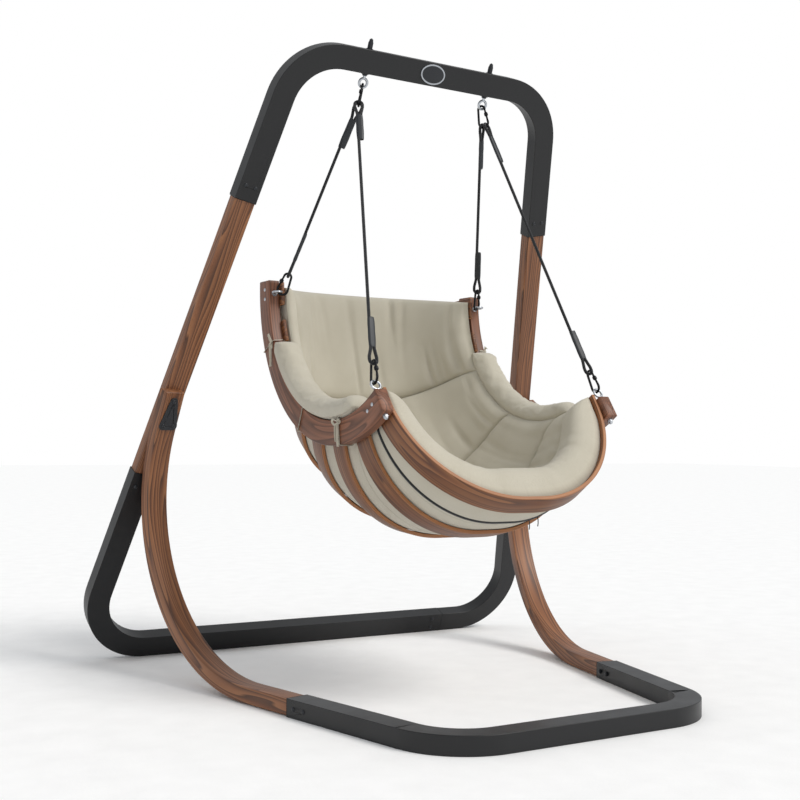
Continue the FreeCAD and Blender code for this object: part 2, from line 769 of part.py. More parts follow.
WIRE = size("hook_wire")
SMALL = size("hook_small")
LARGE = size("hook_large")
CENTRES = size("hook_centres")
TAPER = math.asin((LARGE - SMALL) / CENTRES)
OUT = V(math.cos(TAPER), 0, math.sin(TAPER))
OUT_SPINE = V(-math.cos(TAPER), 0, math.sin(TAPER))
GATE_UP = V(-math.sin(TAPER), 0, math.cos(TAPER))
SMALL_CENTRE = V(0, 0, 0)
LARGE_CENTRE = V(0, 0, -CENTRES)
gate_low = LARGE_CENTRE + OUT * LARGE
gate_high = SMALL_CENTRE + OUT * SMALL
PIVOT = gate_low + GATE_UP * 9
NOSE = gate_high - GATE_UP * 3
GATE_LENGTH = (NOSE - PIVOT).Length - 0.6


def swept_rod(edges, radius):
    """A round rod along a chain of lines and tangent arcs."""
    wire = Part.Wire([edge.toShape() for edge in edges])
    start = edges[0].value(edges[0].FirstParameter)
    direction = edges[0].tangent(edges[0].FirstParameter)[0]
    section = Part.Wire([Part.Circle(start, direction, radius).toShape()])
    return wire.makePipeShell([section], True, False)


def hook_body():
    """Bent wire of the hook: nose, small bow, spine, large bow and hinge tongue."""
    spine_top = SMALL_CENTRE + OUT_SPINE * SMALL
    spine_low = LARGE_CENTRE + OUT_SPINE * LARGE
    shoulder = PIVOT - GATE_UP * 4.6
    edges = [Part.LineSegment(NOSE, gate_high),
             Part.Arc(gate_high, SMALL_CENTRE + Z_AXIS * SMALL, spine_top),
             Part.LineSegment(spine_top, spine_low),
             Part.Arc(spine_low, LARGE_CENTRE - Z_AXIS * LARGE, gate_low),
             Part.LineSegment(gate_low, shoulder)]
    rod = swept_rod(edges, WIRE)
    thick = size("gate_tongue")
    tongue = Part.makeBox(2 * size("gate_wire") - 0.6, thick, 8.6)
    tongue.translate(V(-size("gate_wire") + 0.3, -thick / 2, -5.2))
    tongue.Placement = frame_placement(PIVOT, GATE_UP.cross(Y_AXIS) * -1, Y_AXIS).multiply(tongue.Placement)
    pin_hole = Part.makeCylinder(size("gate_pin"), 20, PIVOT - Y_AXIS * 10, Y_AXIS)
    return rod.fuse(tongue).cut(pin_hole).removeSplitter()


def hook_gate():
    """Sprung gate: a rod whose forked foot straddles the body's tongue."""
    foot = PIVOT - GATE_UP * 3.0
    rod = Part.makeCylinder(size("gate_wire"), GATE_LENGTH + 3.0, foot, GATE_UP)
    slot_width = size("gate_tongue") + 2 * 0.25
    slot = Part.makeBox(20, slot_width, 8.2)
    slot.translate(V(-10, -slot_width / 2, -4.0))
    slot.Placement = frame_placement(PIVOT, GATE_UP.cross(Y_AXIS) * -1, Y_AXIS).multiply(slot.Placement)
    pin_hole = Part.makeCylinder(size("gate_pin") + size("running_gap"), 20, PIVOT - Y_AXIS * 10, Y_AXIS)
    return rod.cut(slot).cut(pin_hole)


def hook_nut():
    """Screw sleeve round the gate: a hexagon with turned ends."""
    low = PIVOT + GATE_UP * 12
    flats = 6.3
    corner = flats / math.cos(math.radians(30))
    points = [V(corner * math.cos(math.radians(60 * k)), corner * math.sin(math.radians(60 * k)), 0)
              for k in range(7)]
    hexagon = Part.Face(Part.makePolygon(points)).extrude(V(0, 0, 9))
    collar = Part.makeCylinder(5.6, 13, V(0, 0, -2))
    bore = Part.makeCylinder(size("gate_wire") + size("running_gap"), 30, V(0, 0, -5))
    nut = hexagon.fuse(collar).cut(bore).removeSplitter()
    nut.Placement = FreeCAD.Placement(low, FreeCAD.Rotation(Z_AXIS, GATE_UP))
    return nut


def hook_pin():
    """Hinge pin of the gate."""
    return Part.makeCylinder(size("gate_pin"), 2 * size("gate_wire") - 0.4,
                             PIVOT - Y_AXIS * (size("gate_wire") - 0.2), Y_AXIS)


hook_pins = []
hook_report = []


def add_hook(label, small_centre, upward, gate_side):
    """One snap hook: body, gate and sleeve nut, with its small bow uppermost."""
    upward = V(upward).normalize()
    gate_dir = gate_side - upward * gate_side.dot(upward)
    gate_dir.normalize()
    place = frame_placement(small_centre, gate_dir, upward.cross(gate_dir))
    for word, shape in (("hook", hook_body()), ("gate", hook_gate()), ("gate_nut", hook_nut())):
        thing = feature("%s_%s" % (label, word), shape)
        thing.Placement = place.multiply(thing.Placement)
    pin = hook_pin()
    pin.Placement = place
    hook_pins.append(pin)
    hook_report.append((label, place.multVec(PIVOT), place.Rotation.multVec(Y_AXIS),
                        place.multVec(PIVOT + GATE_UP * 12), place.Rotation.multVec(GATE_UP)))


# ---------------------------------------------------------------- ropes

def bend_through(points, radii):
    """Edges of straight runs joined by tangent arcs, one radius for each inner point."""
    edges = []
    before = points[0]
    for k in range(1, len(points) - 1):
        coming = (points[k] - points[k - 1]).normalize()
        going = (points[k + 1] - points[k]).normalize()
        turn = coming.getAngle(going)
        reach = radii[k - 1] * math.tan(turn / 2)
        first = points[k] - coming * reach
        last = points[k] + going * reach
        inward = (going - coming).normalize()
        centre = points[k] + inward * (radii[k - 1] / math.cos(turn / 2))
        middle = centre - inward * radii[k - 1]
        if (first - before).Length > 0.01:
            edges.append(Part.LineSegment(before, first))
        edges.append(Part.Arc(first, middle, last))
        before = last
    edges.append(Part.LineSegment(before, points[-1]))
    return edges


LOOP = size("rope_loop")
STRAND = size("rope_strand")
ROPE = size("rope_radius")


def eye_points(wire_centre, away, sideways):
    """Route of a spliced eye round a hook's wire, from the main strand to the tail's end."""
    centre = wire_centre + away * (LOOP - ROPE - WIRE - size("play"))
    neck = centre + away * size("loop_length")
    tail = neck + away * (size("sleeve_length") - 8)
    return [neck + sideways * STRAND,
            centre + away * 10 + sideways * LOOP,
            centre - away * LOOP + sideways * LOOP,
            centre - away * LOOP - sideways * LOOP,
            centre + away * 10 - sideways * LOOP,
            neck - sideways * STRAND,
            tail - sideways * STRAND]


def stadium(origin, along, sideways, length):
    """Flat oval bar that covers both strands of a splice."""
    half = ROPE + size("sleeve_wall")
    points = [V(-STRAND, -half, 0), V(STRAND, -half, 0), V(STRAND, half, 0), V(-STRAND, half, 0)]
    edges = [Part.LineSegment(points[0], points[1]),
             Part.Arc(points[1], V(STRAND + half, 0, 0), points[2]),
             Part.LineSegment(points[2], points[3]),
             Part.Arc(points[3], V(-STRAND - half, 0, 0), points[0])]
    face = Part.Face(Part.Wire([edge.toShape() for edge in edges]))
    bar = face.extrude(V(0, 0, length))
    bar.Placement = frame_placement(origin, sideways, along.cross(sideways))
    return bar


rope_sleeves = []
EYE_RADII = [30.0, LOOP - 0.01, LOOP - 0.01, 30.0, 40.0]


def add_rope(label, top_wire, top_run, low_wire, low_run):
    """A rope between two wires; each run is the wire's direction where the rope goes round it."""
    away = (low_wire - top_wire).normalize()
    top_side = away.cross(top_run).normalize()
    low_side = away.cross(low_run).normalize()
    if top_side.dot(low_side) < 0:
        low_side = low_side * -1
    top_eye = eye_points(top_wire, away, top_side)
    low_eye = eye_points(low_wire, away * -1, low_side)
    points = list(reversed(top_eye)) + low_eye
    radii = list(reversed(EYE_RADII)) + [60.0, 60.0] + EYE_RADII
    rope = swept_rod(bend_through(points, radii), ROPE)
    feature(label + "_rope", rope)
    for eye, side, along in ((top_eye, top_side, away), (low_eye, low_side, away * -1)):
        start = (eye[0] + eye[5]) * 0.5 + along * 4
        jacket = stadium(start, along, side, size("sleeve_length"))
        rope_sleeves.append(jacket.cut(rope))
    return points


EYE = size("eye_ring")
hook_tilt = math.radians(size("hook_tilt"))
hook_turn = math.radians(size("hook_turn"))
rope_spread = math.radians(32)
for side, word in ((-1, "left"), (1, "right")):
    ring_bottom = loop_point(side * size("eye_place"), under_bar - size("eye_drop") - EYE)
    upward = V(-side * math.sin(hook_tilt), 0, math.cos(hook_tilt))
    small_centre = ring_bottom - upward * (SMALL - WIRE - size("link_play") - size("eye_wire"))
    gate_side = V(side * math.sin(hook_turn), -math.cos(hook_turn), 0)
    add_hook(word + "_top", small_centre, upward, gate_side)
    gate_dir = (gate_side - upward * gate_side.dot(upward)).normalize()
    large_centre = small_centre - upward * CENTRES
    for end, sense, lean_in in (("rear", -1, 60), ("front", 1, 0)):
        radius_dir = upward * -math.cos(rope_spread) + gate_dir * (sense * math.sin(rope_spread))
        top_wire = large_centre + radius_dir * LARGE
        top_run = upward * (sense * math.sin(rope_spread)) + gate_dir * math.cos(rope_spread)
        angle = eye_angles[end]
        lean_in = math.radians(lean_in)
        ring_centre = seat_point(side * RIB_ACROSS, RIB_INNER - size("seat_eye_stand"), angle)
        pull = radial(angle) * -math.cos(lean_in) - X_AXIS * (side * math.sin(lean_in))
        contact = ring_centre + pull * EYE
        rope_dir = (top_wire - contact).normalize()
        low_large = contact + rope_dir * (LARGE - WIRE - size("play") - size("seat_eye_wire"))
        low_small = low_large + rope_dir * CENTRES
        gate = pull * -1 if end == "rear" else V(0, -1, 0)
        add_hook("%s_%s" % (word, end), low_small, rope_dir, gate)
        low_gate = (gate - rope_dir * gate.dot(rope_dir)).normalize()
        low_wire = low_small + rope_dir * SMALL
        add_rope("%s_%s" % (word, end), top_wire, top_run, low_wire, low_gate)
feature("hook_pins", Part.makeCompound(hook_pins))
feature("rope_sleeves", Part.makeCompound(rope_sleeves))

# --------------------------------------------------------------- cushion


def lining(first, last, extra):
    """Pad that lines the hoops from one angle to another, thicker by extra on its inner side."""
    rim = size("cushion_rim")
    bottom = size("hoop_reach")
    back_off = size("hoop_thickness") / 2 + size("cushion_gap")
    half = hoop_radius - back_off - size("cushion_side") - extra
    floor = bottom - back_off - size("cushion_base") - extra
    outer_path = [V(-hoop_radius, rim, 0), V(-hoop_radius, bottom, 0),
                  V(hoop_radius, bottom, 0), V(hoop_radius, rim, 0)]
    inner_path = [V(-half, rim, 0), V(-half, floor, 0), V(half, floor, 0), V(half, rim, 0)]
    outer = offset_side(outer_path, size("hoop_corner"), -back_off)
    inner = offset_side(inner_path, size("cushion_corner"), 0)
    outer_start, outer_finish = ends_of(outer)
    inner_start, inner_finish = ends_of(inner)
    edges = (outer + [Part.LineSegment(outer_finish, inner_finish)] + inner
             + [Part.LineSegment(inner_start, outer_start)])
    face = Part.Face(Part.Wire(Part.sortEdges([edge.toShape() for edge in edges])[0]))
    face.Placement = frame_placement(RIB_CENTRE, X_AXIS, radial(first))
    return face.revolve(RIB_CENTRE, X_AXIS, first - last)


back_end = size("back_end")
seat_end = size("seat_end")
feature("back_cushion", lining(0, back_end, 0))
feature("seat_cushion", lining(back_end + size("seam_gap"), seat_end, 0))
feature("front_roll", lining(seat_end + size("seam_gap"), size("hoop_last") + 3, size("roll_extra")))
for side, word in ((-1, "left"), (1, "right")):
    low = RIB_INNER - size("arm_thickness")
    high = RIB_INNER - 0.5
    near = side * (size("rib_inside") + 2)
    far = side * (size("rib_inside") + size("rib_thickness") + 4)
    corners = [V(near, low, 0), V(far, low, 0), V(far, high, 0), V(near, high, 0), V(near, low, 0)]
    face = Part.Face(Part.makePolygon(corners))
    face.Placement = frame_placement(RIB_CENTRE, X_AXIS, radial(size("arm_start")))
    pad = face.revolve(RIB_CENTRE, X_AXIS, -(size("arm_end") - size("arm_start")))
    feature(word + "_arm_pad", pad)

# ------------------------------------------------------- check and write

doc.recompute()
for thing in doc.Objects:
    if "Invalid" in thing.State or "Error" in thing.State:
        raise RuntimeError("%s did not recompute: %s" % (thing.Name, thing.State))
os.makedirs("parts", exist_ok=True)
for thing in PARTS:
    if thing.Shape.isNull() or not thing.Shape.isValid() or not thing.Shape.Solids:
        raise RuntimeError("%s has no valid solid" % thing.Label)
    thing.Shape.exportStep("parts/%s.step" % thing.Label)
for label, pivot, axis, nut_place, nut_axis in hook_report:
    print("hinge", label, [round(c, 3) for c in pivot], [round(c, 5) for c in axis],
          [round(c, 3) for c in nut_place], [round(c, 5) for c in nut_axis])
print("parts", len(PARTS))
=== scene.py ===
"""Looks of the hanging swing chair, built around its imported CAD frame."""

import logging
import math
from collections.abc import Callable
from dataclasses import dataclass
from enum import Enum

import bmesh
import bpy
import numpy as np
from mathutils import Matrix, Vector

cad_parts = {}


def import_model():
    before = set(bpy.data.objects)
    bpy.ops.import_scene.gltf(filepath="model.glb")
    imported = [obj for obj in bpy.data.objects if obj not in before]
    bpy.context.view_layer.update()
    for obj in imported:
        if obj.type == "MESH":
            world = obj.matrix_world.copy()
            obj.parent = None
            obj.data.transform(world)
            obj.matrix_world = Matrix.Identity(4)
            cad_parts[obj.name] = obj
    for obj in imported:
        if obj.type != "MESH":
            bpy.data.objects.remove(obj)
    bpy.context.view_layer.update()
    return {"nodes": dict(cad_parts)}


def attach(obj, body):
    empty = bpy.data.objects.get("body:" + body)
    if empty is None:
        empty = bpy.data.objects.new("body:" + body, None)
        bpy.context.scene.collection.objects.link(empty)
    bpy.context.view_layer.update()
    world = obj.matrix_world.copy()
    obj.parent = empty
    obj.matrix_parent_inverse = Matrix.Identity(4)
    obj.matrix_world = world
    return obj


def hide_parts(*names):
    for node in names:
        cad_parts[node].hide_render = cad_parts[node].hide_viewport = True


LOG = logging.getLogger("swing_chair")
MM = 0.001
SETTLING_FRAMES = 22
X_AXIS = np.array([1.0, 0.0, 0.0])
Z_AXIS = np.array([0.0, 0.0, 1.0])


# ------------------------------------------------------------------ sizes, in mm

@dataclass(frozen=True)
class StandSizes:
    """Sizes of the tube and timber stand."""

    tube_width: float = 80.0
    tube_depth: float = 55.0
    wall_and_gap: float = 2.7
    plug: float = 120.0
    lean: float = math.radians(23)
    loop_height: float = 2307.0
    base_half: float = 995.0
    top_half: float = 535.0
    loop_back: float = 885.0
    upper_joint: float = 1750.0
    lower_joint: float = 750.0
    arm_half: float = 637.0
    bow_joint: float = 262.0
    splay: float = math.radians(13)
    leg_radius: float = 590.0
    leg_height: float = 985.0
    lap_bite: float = 8.0
    eye_place: float = 245.0
    eye_drop: float = 32.0
    timber_corner: float = 4.0

    @property
    def half_width(self) -> float:
        """Half the width of a timber that plugs into the tube."""
        return self.tube_width / 2 - self.wall_and_gap

    @property
    def half_depth(self) -> float:
        """Half the depth of a timber that plugs into the tube."""
        return self.tube_depth / 2 - self.wall_and_gap


@dataclass(frozen=True)
class SeatSizes:
    """Sizes of the ribs and hoops of the seat."""

    centre_y: float = -150.5
    centre_z: float = 1366.0
    rib_inside: float = 405.0
    rib_thickness: float = 41.0
    rib_outer: float = 565.0
    rib_depth: float = 80.0
    rib_start: float = -1.4
    rib_end: float = 125.8
    hoop_thickness: float = 12.0
    hoop_width: float = 80.0
    hoop_corner: float = 370.0
    hoop_reach: float = 863.0
    hoop_end: float = 468.0
    hoop_first: float = 4.0
    hoop_last: float = 119.5
    hoop_count: int = 8
    front_lean: float = 5.0
    eye_stand: float = 26.0
    eye_rear: float = 4.0
    eye_front: float = 123.5
    rib_corner: float = 3.5
    hoop_edge: float = 2.5

    @property
    def rib_inner(self) -> float:
        """Radius of a rib's inner edge."""
        return self.rib_outer - self.rib_depth

    @property
    def rib_middle(self) -> float:
        """Radius of the row of hoop bolts."""
        return self.rib_outer - self.rib_depth / 2 - 7

    @property
    def rib_across(self) -> float:
        """Distance of a rib's middle from the middle of the seat."""
        return self.rib_inside + self.rib_thickness / 2

    @property
    def hoop_half(self) -> float:
        """Half the width of the seat at the hoops' centre lines."""
        return self.rib_inside - self.hoop_thickness / 2


@dataclass(frozen=True)
class RopeSizes:
    """Sizes of the snap hooks and of the ropes spliced to them."""

    wire: float = 4.0
    small: float = 12.5
    large: float = 18.0
    centres: float = 47.5
    tilt: float = math.radians(12)
    turn: float = math.radians(30)
    spread: float = math.radians(32)
    play: float = 0.8
    link_play: float = 2.6
    eye_ring: float = 15.0
    eye_wire: float = 4.5
    seat_eye_wire: float = 4.0
    radius: float = 5.5
    loop: float = 13.0
    strand: float = 6.0
    loop_length: float = 40.0
    sleeve: float = 105.0
    sleeve_wall: float = 1.2


@dataclass(frozen=True)
class CushionSizes:
    """Sizes of the padded lining."""

    gap: float = 8.0
    side: float = 65.0
    base: float = 118.0
    corner: float = 250.0
    rim: float = 470.0
    top: float = 0.0
    front: float = 122.5
    arm_start: float = 27.0
    arm_end: float = 106.0


class Side(Enum):
    """Left or right, with the sign of its X."""

    LEFT = -1
    RIGHT = 1

    @property
    def word(self) -> str:
        """The side's word in the names of nodes."""
        return self.name.lower()


STAND = StandSizes()
SEAT = SeatSizes()
ROPE = RopeSizes()
PAD = CushionSizes()
SEAT_CENTRE = np.array([0.0, SEAT.centre_y, SEAT.centre_z])


# ------------------------------------------------------------------ geometry

def unit(vector: np.ndarray) -> np.ndarray:
    """The vector made one long."""
    return vector / np.linalg.norm(vector)


def radial(angle: float) -> np.ndarray:
    """Direction out from the ribs' centre: 0 degrees is straight back and 90 straight down."""
    turn = math.radians(angle)
    return np.array([0.0, math.cos(turn), -math.sin(turn)])


def tangent(angle: float) -> np.ndarray:
    """Direction along a rib, up towards its rear end, at an angle as in radial."""
    turn = math.radians(angle)
    return np.array([0.0, math.sin(turn), math.cos(turn)])


def seat_point(across: float, radius: float, angle: float) -> np.ndarray:
    """A point, in mm, from the seat's own round coordinates, which are in mm and degrees."""
    return SEAT_CENTRE + X_AXIS * across + radial(angle) * radius


LOOP_UP = np.array([0.0, -math.sin(STAND.lean), math.cos(STAND.lean)])
LOOP_FRONT = np.array([0.0, -math.cos(STAND.lean), -math.sin(STAND.lean)])
LOOP_ORIGIN = np.array([0.0, STAND.loop_back, STAND.tube_depth / 2 * math.sin(STAND.lean)])


def loop_point(across: float, along: float, forward: float = 0.0) -> np.ndarray:
    """A point, in mm, from the coordinates of the leaning loop."""
    return LOOP_ORIGIN + X_AXIS * across + LOOP_UP * along + LOOP_FRONT * forward


def turned(vector: np.ndarray, axis: np.ndarray, angle: float) -> np.ndarray:
    """A vector turned about a unit axis by an angle in radians."""
    return np.array(Matrix.Rotation(angle, 3, Vector(axis)) @ Vector(vector))


def rounded_line(corners: list, radii: list, step: float) -> np.ndarray:
    """Points along straight runs joined by tangent arcs.

    Args:
        corners: The corner points, in mm.
        radii: Bend radius at each inner corner, in mm.
        step: Longest distance between two points, in mm.

    Returns:
        The points as rows.
    """
    rough = [np.array(corners[0], float)]
    for k in range(1, len(corners) - 1):
        corner = np.array(corners[k], float)
        coming = unit(corner - corners[k - 1])
        going = unit(corners[k + 1] - corner)
        turn = math.acos(float(np.clip(coming @ going, -1, 1)))
        if turn < 1e-6:
            continue
        reach = radii[k - 1] * math.tan(turn / 2)
        centre = corner + unit(going - coming) * radii[k - 1] / math.cos(turn / 2)
        spoke = corner - coming * reach - centre
        axis = unit(np.cross(coming, going))
        count = max(3, math.ceil(radii[k - 1] * turn / step))
        rough += [centre + turned(spoke, axis, turn * i / count) for i in range(count + 1)]
    rough.append(np.array(corners[-1], float))
    points = [rough[0]]
    for here in rough[1:]:
        gap = np.linalg.norm(here - points[-1])
        if gap < 1e-3:
            continue
        count = max(1, math.ceil(gap / step))
        start = points[-1]
        points += [start + (here - start) * i / count for i in range(1, count + 1)]
    return np.array(points)


def lengths_along(line: np.ndarray) -> np.ndarray:
    """Distance along a line at each of its points, from 0."""
    return np.concatenate([[0.0], np.cumsum(np.linalg.norm(np.diff(line, axis=0), axis=1))])


def tangents_of(line: np.ndarray) -> np.ndarray:
    """Unit tangent at each point of a line, as rows."""
    steps = np.gradient(line, lengths_along(line), axis=0)
    return steps / np.linalg.norm(steps, axis=1, keepdims=True)


def make_object(name: str, points: np.ndarray, faces: list,
                material: bpy.types.Material) -> bpy.types.Object:
    """A mesh object from points in mm.

    Args:
        name: The object's name.
        points: Vertices in mm, as rows.
        faces: Vertex numbers of each face.
        material: Its material.

    Returns:
        The object, linked to the scene and shaded smooth.
    """
    mesh = bpy.data.meshes.new(name)
    mesh.from_pydata((np.asarray(points) * MM).tolist(), [], faces)
    mesh.update()
    mesh.shade_smooth()
    mesh.materials.append(material)
    thing = bpy.data.objects.new(name, mesh)
    bpy.context.scene.collection.objects.link(thing)
    LOG.info("made %s", name)
    return thing


def tube_faces(rings: int, around: int) -> list:
    """Faces that join rings of vertices and close both ends.

    Args:
        rings: How many rings.
        around: Vertices in a ring.

    Returns:
        Vertex numbers of each face.
    """
    faces = []
    for i in range(rings - 1):
        for j in range(around):
            after = (j + 1) % around
            here, above = i * around, (i + 1) * around
            faces.append((here + j, here + after, above + after, above + j))
    faces.append(tuple(reversed(range(around))))
    faces.append(tuple((rings - 1) * around + j for j in range(around)))
    return faces


def rounded_section(half_wide: float, half_deep: float, corner: float) -> np.ndarray:
    """Outline of a rectangle with rounded corners.

    Args:
        half_wide: Half its width, in mm.
        half_deep: Half its depth, in mm.
        corner: Radius of its corners, in mm.

    Returns:
        Points round the outline, as rows of (width, depth).
    """
    points = []
    for quarter in range(4):
        turn = math.pi / 2 * quarter
        wide = (half_wide - corner) * (1 if quarter in (0, 3) else -1)
        deep = (half_deep - corner) * (1 if quarter in (0, 1) else -1)
        for i in range(5):
            angle = turn + math.pi / 2 * i / 4
            points.append((wide + corner * math.cos(angle), deep + corner * math.sin(angle)))
    return np.array(points)


# ------------------------------------------------------------------ materials

def linear(web: str) -> tuple:
    """Linear red, green, blue and alpha from a web colour."""
    parts = [int(web[k:k + 2], 16) / 255 for k in (1, 3, 5)]
    return tuple(c / 12.92 if c <= 0.04045 else ((c + 0.055) / 1.055) ** 2.4 for c in parts) + (1.0,)


def grey(red: float, green: float, blue: float) -> tuple:
    """A tint that other colours are multiplied by."""
    return red, green, blue, 1.0


class NodeTree:
    """A material's node tree, with one short way to add nodes."""

    def __init__(self, name: str) -> None:
        """Start a material named for its real finish."""
        self.material = bpy.data.materials.new(name)
        self.material.use_nodes = True
        self.tree = self.material.node_tree

    def join(self, node: bpy.types.Node, inputs: dict) -> None:
        """Set or link inputs of a node, each a value or a source socket."""
        for key, value in inputs.items():
            if isinstance(value, bpy.types.NodeSocket):
                self.tree.links.new(value, node.inputs[key])
            else:
                node.inputs[key].default_value = value

    def add(self, kind: str, inputs: dict, out: int | str = 0, stops: tuple = (),
            **settings) -> bpy.types.NodeSocket:
        """Add a node.

        Args:
            kind: Node type without its ShaderNode prefix.
            inputs: Value or source socket of each input.
            out: Which of its sockets is wanted.
            stops: Place and colour of each stop, for a colour ramp.
            **settings: Attributes of the node.

        Returns:
            The wanted socket.
        """
        node = self.tree.nodes.new("ShaderNode" + kind)
        for key, value in settings.items():
            setattr(node, key, value)
        for _ in stops[2:]:
            node.color_ramp.elements.new(0.5)
        for number, (place, colour) in enumerate(stops):
            node.color_ramp.elements[number].position = place
            node.color_ramp.elements[number].color = colour
        self.join(node, inputs)
        return node.outputs[out]

    def finish(self, inputs: dict) -> bpy.types.Material:
        """Set the surface shader's inputs and return the material."""
        self.join(self.tree.nodes["Principled BSDF"], inputs)
        return self.material


@dataclass(frozen=True)
class PlainFinish:
    """Paint, plating, plastic or paper of one colour, with a fine even texture."""

    name: str
    colour: str
    roughness: float
    metallic: float
    texture: float

    PATCHES = 9.0
    PATCH_ROUGHNESS = 0.16
    PATCH_LIFT = 1.25
    RELIEF = 0.05

    def material(self) -> bpy.types.Material:
        """Make the material."""
        tree = NodeTree(self.name)
        place = tree.add("TexCoord", {}, out="Object")
        fine = tree.add("TexNoise", {"Vector": place, "Scale": 1 / self.texture, "Detail": 3.0})
        broad = tree.add("TexNoise", {"Vector": place, "Scale": self.PATCHES, "Detail": 2.0})
        colour = linear(self.colour)
        lighter = tuple(min(1.0, c * self.PATCH_LIFT) for c in colour[:3]) + (1.0,)
        lowest = self.roughness - self.PATCH_ROUGHNESS / 2
        roughness = tree.add("Math", {0: broad, 1: self.PATCH_ROUGHNESS, 2: lowest},
                             operation="MULTIPLY_ADD")
        normal = tree.add("Bump", {"Height": fine, "Distance": self.texture * self.RELIEF, "Strength": 1.0})
        base = tree.add("Mix", {0: broad, 6: colour, 7: lighter}, out=2, data_type="RGBA")
        return tree.finish({"Base Color": base, "Metallic": self.metallic, "Roughness": roughness,
                            "Normal": normal})


@dataclass(frozen=True)
class StainedTimber:
    """Stained solid or laminated timber, its grain along the piece."""

    name: str
    late_wood: str
    main: str
    early_wood: str
    painted_edge_highlight: str
    ring: float
    lamella: float

    ALONG_RINGS = 0.07
    ALONG_FIBRES = 0.012
    RELIEF = 0.00018
    # Distance from the middle, in metres, past which the edge faces get the painted highlight.
    EDGE_HIGHLIGHT_PLACE = 0.0385

    def material(self) -> bpy.types.Material:
        """Make the material."""
        tree = NodeTree(self.name)
        grain = tree.add("Attribute", {}, out="Vector", attribute_name="grain")
        axes = tree.add("SeparateXYZ", {"Vector": grain}).node.outputs
        stretched = tree.add("VectorMath", {0: grain, 1: (self.ALONG_RINGS, 1.0, 1.0)}, operation="MULTIPLY")
        streak = tree.add("VectorMath", {0: grain, 1: (self.ALONG_FIBRES, 1.0, 1.0)}, operation="MULTIPLY")
        fibre = tree.add("TexNoise", {"Vector": streak, "Scale": 900.0, "Detail": 4.0, "Roughness": 0.7})
        base = self._ring_colour(tree, axes, stretched)
        dark = tree.add("Math", {0: fibre, 1: 0.35}, operation="MULTIPLY")
        base = tree.add("Mix", {0: dark, 6: base, 7: linear(self.late_wood)}, out=2, data_type="RGBA")
        blotch = tree.add("TexNoise", {"Vector": stretched, "Scale": 22.0, "Detail": 2.0})
        tone = tree.add("ValToRGB", {"Fac": blotch},
                        stops=((0.3, grey(0.78, 0.76, 0.74)), (0.7, grey(1.12, 1.1, 1.08))))
        base = tree.add("Mix", {0: 1.0, 6: base, 7: tone}, out=2, data_type="RGBA", blend_type="MULTIPLY")
        height = fibre
        if self.lamella:
            base, height = self._layers(tree, axes, base, fibre)
        normal = tree.add("Bump", {"Height": height, "Distance": self.RELIEF, "Strength": 1.0})
        return tree.finish({"Base Color": base, "Roughness": 0.52, "Coat Weight": 0.12,
                            "Coat Roughness": 0.35, "Normal": normal})

    def _ring_colour(self, tree: NodeTree, axes, stretched: bpy.types.NodeSocket) -> bpy.types.NodeSocket:
        """Colour of the wandering year rings.

        Args:
            tree: The material's nodes.
            axes: Sockets of the distances along, across and through.
            stretched: Place in the wood, drawn out along the grain.

        Returns:
            The colour socket.
        """
        wander = tree.add("TexNoise", {"Vector": stretched, "Scale": 11.0, "Detail": 2.0})
        slant = tree.add("Math", {0: axes["Z"], 1: 0.35}, operation="MULTIPLY")
        depth = tree.add("Math", {0: axes["Y"], 1: slant}, operation="ADD")
        even = tree.add("Math", {0: depth, 1: self.ring}, operation="DIVIDE")
        shift = tree.add("Math", {0: wander, 1: 16.0}, operation="MULTIPLY")
        rings = tree.add("Math", {0: even, 1: shift}, operation="ADD")
        wave = tree.add("Math", {0: rings}, operation="FRACT")
        return tree.add("ValToRGB", {"Fac": wave},
                        stops=((0.0, linear(self.early_wood)), (0.55, linear(self.main)),
                               (0.9, linear(self.late_wood)), (1.0, linear(self.early_wood))))

    def _layers(self, tree: NodeTree, axes, base: bpy.types.NodeSocket,
                fibre: bpy.types.NodeSocket) -> tuple:
        """Glued layers, and a painted highlight: a lighter colour on the edge faces, as if lit.

        Args:
            tree: The material's nodes.
            axes: Sockets of the distances along, across and through.
            base: Colour of the solid wood.
            fibre: Height of its fibres.

        Returns:
            The colour socket and the height socket.
        """
        # Painted highlight: the edge faces of a wide piece get a lighter colour, as if lit.
        across = tree.add("Math", {0: axes["Y"]}, operation="ABSOLUTE")
        highlit_edge_mask = tree.add("Math", {0: across, 1: self.EDGE_HIGHLIGHT_PLACE}, operation="GREATER_THAN")
        share = tree.add("Math", {0: highlit_edge_mask, 1: 0.65}, operation="MULTIPLY")
        base = tree.add("Mix", {0: share, 6: base, 7: linear(self.painted_edge_highlight)}, out=2, data_type="RGBA")
        layer = tree.add("Math", {0: axes["Z"], 1: self.lamella}, operation="DIVIDE")
        number = tree.add("Math", {0: layer}, operation="FLOOR")
        shade = tree.add("TexWhiteNoise", {"W": number}, noise_dimensions="1D")
        tint = tree.add("ValToRGB", {"Fac": shade},
                        stops=((0.0, grey(0.88, 0.87, 0.86)), (1.0, grey(1.1, 1.09, 1.08))))
        base = tree.add("Mix", {0: 1.0, 6: base, 7: tint}, out=2, data_type="RGBA", blend_type="MULTIPLY")
        within = tree.add("Math", {0: layer}, operation="FRACT")
        centred = tree.add("Math", {0: within, 1: 0.5}, operation="SUBTRACT")
        edge = tree.add("Math", {0: centred}, operation="ABSOLUTE")
        glue = tree.add("Math", {0: edge, 1: 0.47}, operation="GREATER_THAN")
        faint = tree.add("Math", {0: glue, 1: 0.3}, operation="MULTIPLY")
        base = tree.add("Mix", {0: faint, 6: base, 7: linear(self.late_wood)}, out=2, data_type="RGBA")
        return base, tree.add("Math", {0: fibre, 1: faint}, operation="SUBTRACT")


